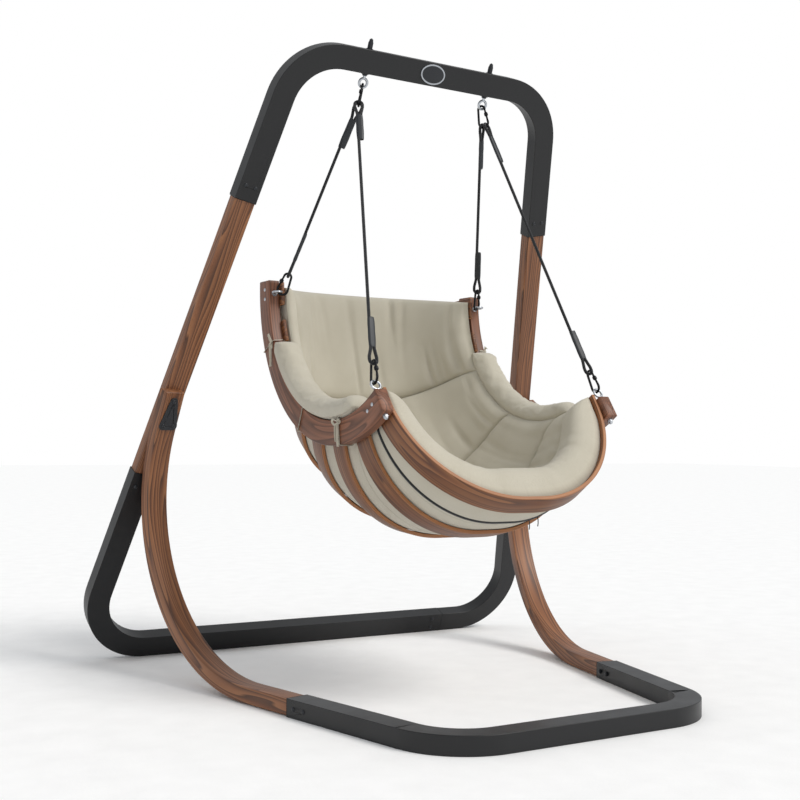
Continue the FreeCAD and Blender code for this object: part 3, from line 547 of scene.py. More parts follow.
@dataclass(frozen=True)
class WovenCloth:
    """Plain woven cloth; its threads are drawn coarse enough to show."""

    name: str
    light: str
    shade: str
    thread: float

    def material(self) -> bpy.types.Material:
        """Make the material."""
        tree = NodeTree(self.name)
        place = tree.add("Attribute", {}, out="Vector", attribute_name="cloth")
        axes = tree.add("SeparateXYZ", {"Vector": place}).node.outputs
        waves = []
        for key in ("X", "Y"):
            turn = tree.add("Math", {0: axes[key], 1: math.tau / self.thread}, operation="MULTIPLY")
            waves.append(tree.add("Math", {0: turn}, operation="SINE"))
        weave = tree.add("Math", {0: waves[0], 1: waves[1]}, operation="MULTIPLY")
        slub = tree.add("TexNoise", {"Vector": place, "Scale": 420.0, "Detail": 3.0})
        wear = tree.add("TexNoise", {"Vector": place, "Scale": 7.0, "Detail": 3.0})
        uneven = tree.add("Math", {0: slub, 1: 0.7}, operation="MULTIPLY")
        mottle = tree.add("Math", {0: weave, 1: 0.18, 2: uneven}, operation="MULTIPLY_ADD")
        colour = tree.add("Mix", {0: mottle, 6: linear(self.light), 7: linear(self.shade)}, out=2,
                          data_type="RGBA")
        tone = tree.add("ValToRGB", {"Fac": wear},
                        stops=((0.3, grey(0.95, 0.945, 0.93)), (0.7, grey(1.03, 1.03, 1.03))))
        base = tree.add("Mix", {0: 1.0, 6: colour, 7: tone}, out=2, data_type="RGBA", blend_type="MULTIPLY")
        height = tree.add("Math", {0: weave, 1: 0.5, 2: slub}, operation="MULTIPLY_ADD")
        normal = tree.add("Bump", {"Height": height, "Distance": self.thread * 0.25, "Strength": 1.0})
        return tree.finish({"Base Color": base, "Roughness": 0.92, "Sheen Weight": 0.25,
                            "Sheen Roughness": 0.5, "Normal": normal})


class Finishes:
    """Every material of the object and of the studio."""

    def __init__(self) -> None:
        """Make the materials."""
        # Powder coat on the steel tubes: near black, an even satin skin.
        self.frame_paint = PlainFinish("anthracite powder coat", "#08090c", 0.42, 0.0, 0.0012).material()
        # Black coated carriage bolts, nuts and plates: a little smoother than the tubes.
        self.black_bolts = PlainFinish("black coated fasteners", "#24262a", 0.38, 0.3, 0.0006).material()
        # Zinc plated eye bolts and hoop bolts: bright and slightly cloudy.
        self.zinc = PlainFinish("zinc plated steel", "#b4b8bd", 0.33, 1.0, 0.0008).material()
        # Black passivated snap hooks: dark metal with soft highlights.
        self.black_steel = PlainFinish("black passivated steel", "#101114", 0.34, 0.6, 0.0006).material()
        # Cast aluminium rim of the blank badge: pale grey and dull.
        self.badge = PlainFinish("cast aluminium", "#a7abb0", 0.4, 0.9, 0.0006).material()
        # Stained pine beams: wide wandering rings under a thin oil.
        self.beam = StainedTimber("stained pine beam", "#4b2b17", "#7e4e2e", "#a06b43", "#a06b43",
                                  0.0110, 0.0).material()
        # Stained laminated ribs: thick glued layers that follow the bend.
        self.rib = StainedTimber("stained bent laminate", "#53311f", "#784c34", "#936045", "#936045",
                                 0.0120, 0.0042).material()
        # Stained bent plywood hoops: thin layers, and edge faces painted lighter as a painted highlight, the
        # colour of a lit edge.
        self.hoop = StainedTimber("stained bent plywood", "#52311d", "#78492a", "#96643c", "#bb7f50",
                                  0.0240, 0.0016).material()
        # Braided polyester rope: black and matt.
        self.rope = WovenCloth("black braided rope", "#121419", "#0f1114", 0.0016).material()
        # Heat-shrink tube over the splices: dark, smooth and a little waxy.
        self.shrink = PlainFinish("black heat shrink", "#1d2126", 0.5, 0.0, 0.002).material()
        # Undyed cotton canvas: warm grey, matt and slightly uneven.
        self.cloth = WovenCloth("natural cotton canvas", "#cdc7b7", "#b5ae9b", 0.0011).material()
        # Dark cotton tape of the zip line.
        self.piping = WovenCloth("dark cotton piping", "#2b2c2e", "#1c1d1f", 0.0012).material()
        # Matt white paper of the studio floor.
        self.floor = PlainFinish("matt white paper", "#f4f4f4", 0.95, 0.0, 0.01).material()


class Maker:
    """Makes pieces of given materials."""

    def __init__(self, finishes: Finishes) -> None:
        """Remember the materials."""
        self.finishes = finishes


def sharpen(thing: bpy.types.Object, degrees: float = 40.0) -> None:
    """Keep hard the edges of a smooth piece that turn more than some degrees."""
    thing.data.set_sharp_from_angle(angle=math.radians(degrees))


def write_vectors(thing: bpy.types.Object, name: str, rows: np.ndarray) -> None:
    """Store one vector for each vertex, under a name."""
    attribute = thing.data.attributes.new(name, "FLOAT_VECTOR", "POINT")
    attribute.data.foreach_set("vector", np.asarray(rows, np.float32).ravel())


# ------------------------------------------------------------------ timber

@dataclass(frozen=True)
class Timber:
    """A straight or bent timber of even section, in place of a CAD node."""

    node: str
    line: np.ndarray
    normal: np.ndarray
    half_across: float
    half_through: float
    corner: float
    material: bpy.types.Material
    slot: str
    body: str
    seed: int

    def build(self) -> bpy.types.Object:
        """Make the timber with rounded edges and eased ends.

        Returns:
            The finished piece.
        """
        line = self._eased_line()
        run = lengths_along(line)
        along = tangents_of(line)
        through = np.cross(along, self.normal)
        ease = self.corner * 0.7
        points = []
        grain = []
        for k, spot in enumerate(line):
            inset = ease if k in (0, len(line) - 1) else 0.0
            section = rounded_section(self.half_across - inset, self.half_through - inset,
                                      max(0.4, self.corner - inset))
            for across, deep in section:
                points.append(spot + self.normal * across + through[k] * deep)
                grain.append((run[k], across, deep))
        offset = np.array([731.0, 0.0, 0.0]) * self.seed
        thing = make_object(self.node + "_wood", np.array(points), tube_faces(len(line), 20), self.material)
        write_vectors(thing, "grain", (np.array(grain) + offset) * MM)
        sharpen(thing, 50)
        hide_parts(self.node)
        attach(thing, self.body)
        return thing

    def _eased_line(self) -> np.ndarray:
        """The line with one more point near each end.

        Returns:
            The points as rows.
        """
        ease = self.corner * 0.7
        first = self.line[0] + unit(self.line[1] - self.line[0]) * ease
        last = self.line[-1] - unit(self.line[-1] - self.line[-2]) * ease
        return np.vstack([self.line[:1], first, self.line[1:-1], last, self.line[-1:]])


class StandTimbers(Maker):
    """The two uprights and the two bent legs."""

    def __init__(self, finishes: Finishes) -> None:
        """Work out how the loop's sides slope."""
        super().__init__(finishes)
        self.slope = (STAND.base_half - STAND.top_half) / STAND.loop_height
        self.edge = STAND.tube_width / 2 / math.cos(math.atan(self.slope))

    def side_place(self, along: float, side: int) -> np.ndarray:
        """A point on an upright's centre line."""
        return loop_point(side * (STAND.base_half - self.slope * along - self.edge), along)

    def upright(self, word: str, side: int, seed: int) -> None:
        """One upright between the top bow and the rear bow.

        Args:
            word: left or right.
            side: -1 left, 1 right.
            seed: Which stretch of grain it has.
        """
        ends = [self.side_place(STAND.lower_joint - STAND.plug, side),
                self.side_place(STAND.upper_joint + STAND.plug, side)]
        line = rounded_line(ends, [], 60.0)
        normal = unit(np.cross(ends[1] - ends[0], LOOP_FRONT))
        Timber(word + "_upright", line, normal, STAND.half_width, STAND.half_depth, STAND.timber_corner,
               self.finishes.beam, "stained_beam", "stand", seed).build()

    def leg(self, word: str, side: int, seed: int) -> None:
        """One bent leg from the front bow up to its lap on the upright.

        Args:
            word: left or right.
            side: -1 left, 1 right.
            seed: Which stretch of grain it has.
        """
        back = np.array([side * math.sin(STAND.splay), math.cos(STAND.splay), 0.0])
        outward = np.array([side * math.cos(STAND.splay), -math.sin(STAND.splay), 0.0])
        origin = np.array([side * STAND.arm_half, -STAND.bow_joint, 0.0]) - outward * STAND.tube_width / 2
        beta = math.atan(math.tan(STAND.lean) / math.cos(STAND.splay))

        def place(height: float) -> np.ndarray:
            front = (STAND.loop_back - (STAND.half_depth + (height - LOOP_ORIGIN[2]) * math.sin(STAND.lean))
                     / math.cos(STAND.lean))
            reach = (front + STAND.bow_joint) / math.cos(STAND.splay)
            reach -= STAND.half_depth / math.cos(beta) - STAND.lap_bite
            return origin + back * reach + Z_AXIS * height

        floor = STAND.tube_depth / 2
        corners = [origin - back * STAND.plug + Z_AXIS * floor, place(floor), place(STAND.leg_height)]
        line = rounded_line(corners, [STAND.leg_radius], 18.0)
        self._trim(Timber(word + "_leg", line, outward, STAND.half_width, STAND.half_depth,
                          STAND.timber_corner, self.finishes.beam, "stained_beam", "stand", seed).build())

    def _trim(self, leg: bpy.types.Object) -> None:
        """Cut the leg flush where it laps onto the upright.

        Args:
            leg: The leg's piece.
        """
        mesh = bmesh.new()
        mesh.from_mesh(leg.data)
        cut = bmesh.ops.bisect_plane(mesh, geom=mesh.verts[:] + mesh.edges[:] + mesh.faces[:],
                                     plane_co=Vector(loop_point(0, 0, STAND.half_depth) * MM),
                                     plane_no=Vector(LOOP_FRONT), clear_inner=True)
        edges = [item for item in cut["geom_cut"] if isinstance(item, bmesh.types.BMEdge)]
        bmesh.ops.edgeloop_fill(mesh, edges=edges)
        mesh.to_mesh(leg.data)
        mesh.free()
        sharpen(leg, 50)

    def build(self) -> None:
        """Make all four timbers."""
        for seed, side in enumerate(Side, start=1):
            self.upright(side.word, side.value, seed)
            self.leg(side.word, side.value, seed + 2)


class SeatTimbers(Maker):
    """The two ribs and the eight hoops."""

    def rib(self, word: str, side: int, seed: int) -> None:
        """One curved rib.

        Args:
            word: left or right.
            side: -1 left, 1 right.
            seed: Which stretch of grain it has.
        """
        middle = SEAT.rib_outer - SEAT.rib_depth / 2
        angles = np.linspace(SEAT.rib_start, SEAT.rib_end, 90)
        line = np.array([seat_point(side * SEAT.rib_across, middle, a) for a in angles])
        Timber(word + "_rib", line, X_AXIS * side, SEAT.rib_thickness / 2, SEAT.rib_depth / 2,
               SEAT.rib_corner, self.finishes.rib, "bent_plywood", "swing", seed).build()

    def hoop(self, number: int) -> None:
        """One bent hoop.

        Args:
            number: 1 at the top of the back, 8 at the front.
        """
        step = (SEAT.hoop_last - SEAT.hoop_first) / (SEAT.hoop_count - 1)
        angle = SEAT.hoop_first + step * (number - 1)
        lean = SEAT.front_lean if number == SEAT.hoop_count else 0.0
        out = radial(angle + lean)
        origin = seat_point(0, SEAT.rib_middle, angle) - out * SEAT.rib_middle
        half = SEAT.hoop_half
        flat = [(-half, SEAT.hoop_end), (-half, SEAT.hoop_reach),
                (half, SEAT.hoop_reach), (half, SEAT.hoop_end)]
        corners = [origin + X_AXIS * x + out * r for x, r in flat]
        line = rounded_line(corners, [SEAT.hoop_corner] * 2, 14.0)
        Timber("hoop_%d" % number, line, tangent(angle + lean), SEAT.hoop_width / 2,
               SEAT.hoop_thickness / 2, SEAT.hoop_edge, self.finishes.hoop, "bent_plywood", "swing",
               10 + number).build()

    def build(self) -> None:
        """Make the ribs and hoops."""
        for seed, side in enumerate(Side, start=6):
            self.rib(side.word, side.value, seed)
        for number in range(1, SEAT.hoop_count + 1):
            self.hoop(number)


# ------------------------------------------------------------------ ropes

@dataclass(frozen=True)
class RopeEnd:
    """One spliced end of a rope, on a hook's wire."""

    wire: np.ndarray
    away: np.ndarray
    sideways: np.ndarray

    def route(self) -> list:
        """Corner points from the main strand to the tail's end.

        Returns:
            The points, in mm.
        """
        loop = ROPE.loop
        centre = self.wire + self.away * (loop - ROPE.radius - ROPE.wire - ROPE.play)
        neck = centre + self.away * ROPE.loop_length
        tail = neck + self.away * (ROPE.sleeve - 8)
        side = self.sideways
        return [neck + side * ROPE.strand, centre + self.away * 10 + side * loop,
                centre - self.away * loop + side * loop, centre - self.away * loop - side * loop,
                centre + self.away * 10 - side * loop, neck - side * ROPE.strand, tail - side * ROPE.strand]

    def splice(self) -> np.ndarray:
        """Where the sleeve begins."""
        points = self.route()
        return (points[0] + points[5]) / 2 + self.away * 4


class Ropes(Maker):
    """Four braided ropes with eyes at both ends, and their sleeves."""

    BRAID_STRANDS = 8
    BRAID_PITCH = 34.0
    BRAID_DEPTH = 0.45
    AROUND = 32
    EYE_RADII = [30.0, 12.99, 12.99, 30.0, 40.0]

    def __init__(self, finishes: Finishes) -> None:
        """Begin with no sleeves."""
        super().__init__(finishes)
        self.sleeves = []

    def build(self) -> None:
        """Make every rope and sleeve."""
        for side in Side:
            for end in ("rear", "front"):
                top, low = self._ends(side.value, end)
                self._rope("%s_%s_rope" % (side.word, end), top, low)
        self._make_sleeves()

    def _ends(self, side: int, end: str) -> tuple:
        """Both ends of one rope, worked out from its hooks.

        Args:
            side: -1 left, 1 right.
            end: rear or front.

        Returns:
            The top and the low RopeEnd.
        """
        under = STAND.loop_height - STAND.tube_width
        ring = loop_point(side * STAND.eye_place, under - STAND.eye_drop - ROPE.eye_ring)
        upward = np.array([-side * math.sin(ROPE.tilt), 0.0, math.cos(ROPE.tilt)])
        small = ring - upward * (ROPE.small - ROPE.wire - ROPE.link_play - ROPE.eye_wire)
        gate = np.array([side * math.sin(ROPE.turn), -math.cos(ROPE.turn), 0.0])
        gate = unit(gate - upward * (gate @ upward))
        sense = -1 if end == "rear" else 1
        lean_in = math.radians(60 if end == "rear" else 0)
        spoke = upward * -math.cos(ROPE.spread) + gate * sense * math.sin(ROPE.spread)
        top_wire = small - upward * ROPE.centres + spoke * ROPE.large
        top_run = upward * sense * math.sin(ROPE.spread) + gate * math.cos(ROPE.spread)
        angle = SEAT.eye_rear if end == "rear" else SEAT.eye_front
        ring = seat_point(side * SEAT.rib_across, SEAT.rib_inner - SEAT.eye_stand, angle)
        pull = radial(angle) * -math.cos(lean_in) - X_AXIS * side * math.sin(lean_in)
        contact = ring + pull * ROPE.eye_ring
        along = unit(top_wire - contact)
        reach = ROPE.large - ROPE.wire - ROPE.play - ROPE.seat_eye_wire + ROPE.centres
        low_small = contact + along * reach
        low_gate = -pull if end == "rear" else np.array([0.0, -1.0, 0.0])
        low_gate = unit(low_gate - along * (low_gate @ along))
        low_wire = low_small + along * ROPE.small
        away = unit(low_wire - top_wire)
        top_side = unit(np.cross(away, top_run))
        low_side = unit(np.cross(away, low_gate))
        if top_side @ low_side < 0:
            low_side = -low_side
        return RopeEnd(top_wire, away, top_side), RopeEnd(low_wire, -away, low_side)

    def _rope(self, node: str, top: RopeEnd, low: RopeEnd) -> None:
        """One rope along its whole route.

        Args:
            node: The CAD node it stands for.
            top: Its upper end.
            low: Its lower end.
        """
        corners = list(reversed(top.route())) + low.route()
        radii = list(reversed(self.EYE_RADII)) + [60.0, 60.0] + self.EYE_RADII
        line = rounded_line(corners, radii, 1.7)
        run = lengths_along(line)
        along = tangents_of(line)
        side = unit(np.cross(along[0], X_AXIS + Z_AXIS * 0.3))
        turns = np.arange(self.AROUND) * math.tau / self.AROUND
        points = []
        cloth = []
        for k, spot in enumerate(line):
            side = unit(side - along[k] * (side @ along[k]))
            other = np.cross(along[k], side)
            twist = run[k] / self.BRAID_PITCH * math.tau
            strands = self.BRAID_STRANDS / 2
            weave = np.sin(strands * turns + twist * 2) * np.sin(strands * turns - twist * 2)
            radius = ROPE.radius - self.BRAID_DEPTH * (0.5 - 0.5 * weave)
            points.append(spot + np.outer(radius * np.cos(turns), side)
                          + np.outer(radius * np.sin(turns), other))
            cloth.append(np.stack([np.full(self.AROUND, run[k]), turns * ROPE.radius, turns * 0], axis=1))
        rope = make_object(node + "_braid", np.vstack(points), tube_faces(len(line), self.AROUND),
                           self.finishes.rope)
        write_vectors(rope, "cloth", np.vstack(cloth) * MM)
        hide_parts(node)
        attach(rope, "swing")
        LOG.info("%s is %.0f mm long, tails and eyes included", node, run[-1])
        self.sleeves += [top, low]

    def _make_sleeves(self) -> None:
        """All eight sleeves, each drawn tight over its two strands."""
        around = 36
        rings = 30
        points = []
        faces = []
        for number, end in enumerate(self.sleeves):
            start = end.splice()
            other = np.cross(end.away, end.sideways)
            rng = np.random.default_rng(number)
            waver = np.interp(np.linspace(0, 1, rings), np.linspace(0, 1, 8), rng.uniform(-0.35, 0.35, 8))
            for k in range(rings):
                share = k / (rings - 1)
                ease = min(1.0, min(share, 1 - share) * rings / 2)
                half = ROPE.radius + ROPE.sleeve_wall * (0.45 + 0.55 * ease) + waver[k]
                reach = ROPE.strand * (1.0 - 0.12 * math.cos(share * math.pi) ** 8)
                for j in range(around):
                    turn = math.tau * j / around
                    flat = reach * math.copysign(abs(math.cos(turn)) ** 0.6, math.cos(turn))
                    waist = 1 - 0.10 * (1 - abs(math.cos(turn))) ** 2
                    points.append(start + end.away * ROPE.sleeve * share
                                  + end.sideways * (flat + half * math.cos(turn))
                                  + other * half * waist * math.sin(turn))
            faces += [tuple(v + number * around * rings for v in face) for face in tube_faces(rings, around)]
        thing = make_object("splice_sleeves", np.array(points), faces, self.finishes.shrink)
        sharpen(thing, 50)
        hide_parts("rope_sleeves")
        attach(thing, "swing")


# ------------------------------------------------------------------ cushion

class Bucket:
    """The inner and outer outlines of the padded lining, the same at every angle."""

    SAMPLES = 241

    def __init__(self) -> None:
        """Sample both outlines evenly from the left rim to the right rim."""
        off = SEAT.hoop_thickness / 2
        half = SEAT.hoop_half
        self.outer = self._outline(half - off - 1.5, SEAT.hoop_reach - off - 1.5, SEAT.hoop_corner - off)
        inner_half = half - off - PAD.gap - PAD.side
        inner_floor = SEAT.hoop_reach - off - PAD.gap - PAD.base
        self.inner = self._outline(inner_half, inner_floor, PAD.corner)
        tight = np.clip((560.0 - self.outer[:, 1]) / 40.0, 0, 1) * (PAD.gap - 1.5)
        self.outer[:, 0] -= np.sign(self.outer[:, 0]) * tight

    def _outline(self, half: float, floor: float, corner: float) -> np.ndarray:
        """Even points along one U.

        Args:
            half: Half its width, in mm.
            floor: Radius of its floor, in mm.
            corner: Bend radius, in mm.

        Returns:
            Rows of (across, radius).
        """
        flat = [np.array([x, r, 0.0]) for x, r in
                ((-half, PAD.rim), (-half, floor), (half, floor), (half, PAD.rim))]
        line = rounded_line(flat, [corner, corner], 4.0)
        run = lengths_along(line)
        even = np.linspace(0, run[-1], self.SAMPLES)
        return np.stack([np.interp(even, run, line[:, 0]), np.interp(even, run, line[:, 1])], axis=1)

    def at(self, outline: np.ndarray, u: np.ndarray) -> np.ndarray:
        """Points of an outline at shares from -1 to 1."""
        place = np.linspace(-1, 1, self.SAMPLES)
        return np.stack([np.interp(u, place, outline[:, 0]), np.interp(u, place, outline[:, 1])], axis=-1)


@dataclass(frozen=True)
class Panel:
    """One stuffed panel of the lining between two seams."""

    name: str
    node: str
    first: Callable
    last: Callable
    puff: float
    folds: int
    fold_depth: float
    seed: int
    edge_first: float
    edge_last: float
    swell: float


class Cushion(Maker):
    """Padded lining, arm pads, piping and ties."""

    ALONG = 200
    DOWN = 38
    CLOTH_ACROSS = 0.62
    CLOTH_DOWN = 0.72
    ARM_RINGS = 74
    ARM_AROUND = 44
    ARM_MIDDLE = 411.0
    ARM_HALF_WIDE = 49.0
    ARM_HALF_TALL = 30.0
    ARM_ROUNDED = 0.055
    CORD_AROUND = 10
    ZIP_ANGLE = 111.5
    TIES = ((25.0, True), (66.0, False), (97.0, True))

    def __init__(self, finishes: Finishes) -> None:
        """Work out the lining's outlines."""
        super().__init__(finishes)
        self.bucket = Bucket()

    @staticmethod
    def seam(middle: float, rim: float, power: float = 3.0) -> Callable:
        """A seam across the lining."""
        return lambda u: middle + (rim - middle) * np.abs(u) ** power

    def panels(self) -> list:
        """The four panels from the back's top edge to the front roll.

        Returns:
            The panels.
        """
        top = self.seam(PAD.top - 1.5, PAD.top + 1.5)
        back_seam = self.seam(31.0, 36.5, 6.0)
        seat_seam = self.seam(64.5, 70.0, 8.0)
        front_seam = self.seam(94.8, 104.5, 8.0)
        roll_seam = self.seam(110.0, 112.0)
        front = self.seam(PAD.front, PAD.front)
        return [Panel("back_panel", "back_cushion", top, back_seam, 4, 40, 13.0, 1, 0.62, 0.62, 0.14),
                Panel("lumbar_panel", "seat_cushion", back_seam, seat_seam, 2, 30, 9.0, 2, 0.62, 0.66, 0.10),
                Panel("seat_panel", "seat_cushion", seat_seam, front_seam, 0, 22, 8.0, 3, 0.66, 0.66, 0.10),
                Panel("front_panel", "seat_cushion", front_seam, roll_seam, 0, 30, 9.0, 4, 0.66, 0.74, 0.12),
                Panel("front_roll_panel", "front_roll", roll_seam, front, 16, 24, 4.0, 5, 0.72, 0.35, 0.05)]

    def build(self) -> None:
        """Make every soft piece."""
        for panel in self.panels():
            self._panel(panel)
        for side in Side:
            self._arm_pad(side.word, side.value)
        self._piping()
        self._ties()

    def _panel(self, panel: Panel) -> None:
        """One closed, stuffed panel.

        Args:
            panel: What to make.
        """
        us = np.linspace(-1, 1, self.ALONG)
        vs = np.linspace(0, 1, self.DOWN)
        u, v = np.meshgrid(us, vs)
        angle = panel.first(u) * (1 - v) + panel.last(u) * v
        inner = self.bucket.at(self.bucket.inner, u)
        outer = self.bucket.at(self.bucket.outer, u)
        loft = (1 - np.abs(2 * v - 1) ** 3.0) ** (1 / 2.2)
        edge = panel.edge_first * (1 - v) + panel.edge_last * v
        rim = (1 - np.abs(u) ** 14) ** 0.5
        share = (edge + (1 - edge) * loft) * rim
        rng = np.random.default_rng(panel.seed)
        fold = np.zeros_like(u)
        for _ in range(panel.folds):
            spot = rng.uniform(-0.97, 0.97)
            width = rng.uniform(0.018, 0.042)
            from_top = rng.random() < 0.5
            reach = rng.uniform(0.45, 1.0)
            fade = np.clip(1 - (v if from_top else 1 - v) / reach, 0, 1) ** 1.3
            drift = spot + (v if from_top else 1 - v) * rng.uniform(-0.05, 0.05)
            fold -= np.exp(-((u - drift) / width) ** 2) * fade * rng.uniform(0.5, 1.0)
        lift = panel.puff * loft * rim + fold * panel.fold_depth * (1.15 - np.abs(2 * v - 1) ** 4) * rim
        depth = np.linalg.norm(inner - outer, axis=-1)
        toward = (inner - outer) / depth[..., None]
        face = outer + toward * (depth * share + lift)[..., None]
        back = outer
        points = np.concatenate([self._world(face, angle), self._world(back, angle)])
        faces = self._closed_grid(self.ALONG, self.DOWN)
        thing = make_object(panel.name, points, faces, self.finishes.cloth)
        run_u = u.ravel() * self.CLOTH_ACROSS
        run_v = np.radians(angle.ravel()) * self.CLOTH_DOWN
        flat = np.stack([run_u, run_v, np.zeros_like(run_u)], axis=1)
        write_vectors(thing, "cloth", np.vstack([flat, flat]))
        inside = np.zeros((self.DOWN, self.ALONG), bool)
        inside[1:-1, 1:-1] = True
        free = np.concatenate([inside.ravel(), np.zeros(u.size, bool)])
        self._inflate(thing, free, panel.swell)
        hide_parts(panel.node)
        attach(thing, "swing")

    @staticmethod
    def _inflate(thing: bpy.types.Object, free: np.ndarray, swell: float) -> None:
        """Fill a closed piece with pressure, so that its surplus cloth gathers at the seams.

        Args:
            thing: The piece.
            free: Which of its vertices may move.
            swell: Share by which its cloth is longer than the space between the seams.
        """
        group = thing.vertex_groups.new(name="sewn")
        group.add(np.flatnonzero(~free).tolist(), 1.0, "REPLACE")
        cloth = thing.modifiers.new("stuffing", "CLOTH")
        settings = cloth.settings
        settings.quality = 7
        settings.mass = 0.25
        settings.tension_stiffness = 12.0
        settings.compression_stiffness = 12.0
        settings.shear_stiffness = 4.0
        settings.bending_stiffness = 0.08
        settings.vertex_group_mass = "sewn"
        settings.pin_stiffness = 1.0
        settings.use_pressure = True
        settings.uniform_pressure_force = 1.0
        settings.shrink_min = -swell
        settings.effector_weights.gravity = 0.0
        cloth.collision_settings.use_collision = False
        cloth.point_cache.frame_start = 1
        cloth.point_cache.frame_end = SETTLING_FRAMES
        scene = bpy.context.scene
        for number in range(1, SETTLING_FRAMES + 1):
            scene.frame_set(number)
        graph = bpy.context.evaluated_depsgraph_get()
        shaped = thing.evaluated_get(graph).to_mesh()
        places = np.zeros(len(shaped.vertices) * 3, np.float32)
        shaped.vertices.foreach_get("co", places)
        thing.evaluated_get(graph).to_mesh_clear()
        thing.modifiers.remove(cloth)
        thing.data.vertices.foreach_set("co", places)
        thing.data.update()
        scene.frame_set(1)

    def _arm_pad(self, word: str, side: int) -> None:
        """One stuffed pad that lies along a rib.

        Args:
            word: left or right.
            side: -1 left, 1 right.
        """
        rings, around = self.ARM_RINGS, self.ARM_AROUND
        shares = np.linspace(0, 1, rings)
        angles = PAD.arm_start + (PAD.arm_end + 3.0 - PAD.arm_start) * shares
        turns = np.arange(around) * math.tau / around
        rng = np.random.default_rng(20 + side)
        points = []
        cloth = []
        free = []
        for k, angle in enumerate(angles):
            end = min(shares[k], 1 - shares[k])
            round_off = min(1.0, (0.03 + end / self.ARM_ROUNDED) ** 0.5) if end < self.ARM_ROUNDED else 1.0
            wide = self.ARM_HALF_WIDE * (0.72 + 0.28 * round_off)
            tall = self.ARM_HALF_TALL * round_off
            height = SEAT.rib_inner - self.ARM_HALF_TALL + (self.ARM_HALF_TALL - tall) * 0.55
            for turn in turns:
                flat = math.copysign(abs(math.cos(turn)) ** 0.75, math.cos(turn))
                rise = math.copysign(abs(math.sin(turn)) ** 0.80, math.sin(turn))
                crease = rng.uniform(-0.25, 0.25)
                across = self.ARM_MIDDLE + flat * wide
                radius = height - rise * (tall + crease)
                over = max(0.0, across - SEAT.rib_inside - SEAT.rib_thickness - 4)
                if rise < 0.2:
                    radius = min(radius + over * 0.9, radius + 13)
                if SEAT.rib_inside - 3 < across < SEAT.rib_inside + SEAT.rib_thickness + 3:
                    radius = min(radius, SEAT.rib_inner - 0.6)
                points.append(seat_point(side * across, radius, angle))
                cloth.append((shares[k] * 0.68, turn * 0.05, 0.0))
                free.append(0 < k < rings - 1 and rise > -0.15)
        thing = make_object(word + "_arm_padding", np.array(points), tube_faces(rings, around),
                            self.finishes.cloth)
        if side < 0:
            thing.data.flip_normals()
        write_vectors(thing, "cloth", np.array(cloth))
        self._inflate(thing, np.array(free), 0.015)
        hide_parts(word + "_arm_pad")
        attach(thing, "swing")

    def _round_cord(self, name: str, line: np.ndarray, radius: float, material: bpy.types.Material,
                    flat: float = 1.0) -> None:
        """A thin cord, tape or piping along a line.

        Args:
            name: The object's name.
            line: Points it follows, in mm.
            radius: Half its width, in mm.
            material: Its material.
            flat: Share of the width that its thickness has.
        """
        along = tangents_of(line)
        side = unit(np.cross(along[0], np.array([0.31, 0.52, 0.8])))
        turns = np.arange(self.CORD_AROUND) * math.tau / self.CORD_AROUND
        run = lengths_along(line)
        points = []
        cloth = []
        for k, spot in enumerate(line):
            side = unit(side - along[k] * (side @ along[k]))
            other = np.cross(along[k], side)
            points.append(spot + np.outer(radius * np.cos(turns), side)
                          + np.outer(radius * flat * np.sin(turns), other))
            cloth += [(run[k] * MM, turn * radius * MM, 0.0) for turn in turns]
        thing = make_object(name, np.vstack(points), tube_faces(len(line), self.CORD_AROUND), material)
        write_vectors(thing, "cloth", np.array(cloth))
        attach(thing, "swing")

    def _piping(self) -> None:
        """Dark zip line round the outside of the lining between the two front hoops."""
        shares = np.linspace(-0.97, 0.97, 160)
        flat = self.bucket.at(self.bucket.outer, shares)
        outward = np.stack([-np.gradient(flat[:, 1]), np.gradient(flat[:, 0])], axis=1)
        outward /= np.linalg.norm(outward, axis=1, keepdims=True)
        line = self._world(flat + outward * 1.0, np.full(len(shares), self.ZIP_ANGLE))
        self._round_cord("zip_line", line, 5.0, self.finishes.piping, 0.5)
        for number, share in enumerate((0.16, 0.22)):
            spot = self.bucket.at(self.bucket.outer, np.array([share]))
            start = self._world(spot + np.array([[0.0, 3.0]]), np.array([self.ZIP_ANGLE]))[0]
            drop = np.array([[0, 0, -1.0], [1.5, -1, -8.0], [2.0, -1, -20.0], [1.0, 0, -30.0]])
            self._round_cord("zip_pull_%d" % (number + 1), rounded_line(list(start + drop), [6.0, 6.0], 3.0),
                             1.6, self.finishes.piping)

    def _ties(self) -> None:
        """Cloth tapes that hold the pads to the left and right ribs."""
        for side in Side:
            for number, (angle, bow) in enumerate(self.TIES, start=1):
                self._tie("%s_tie_%d" % (side.word, number), side.value, angle, bow)

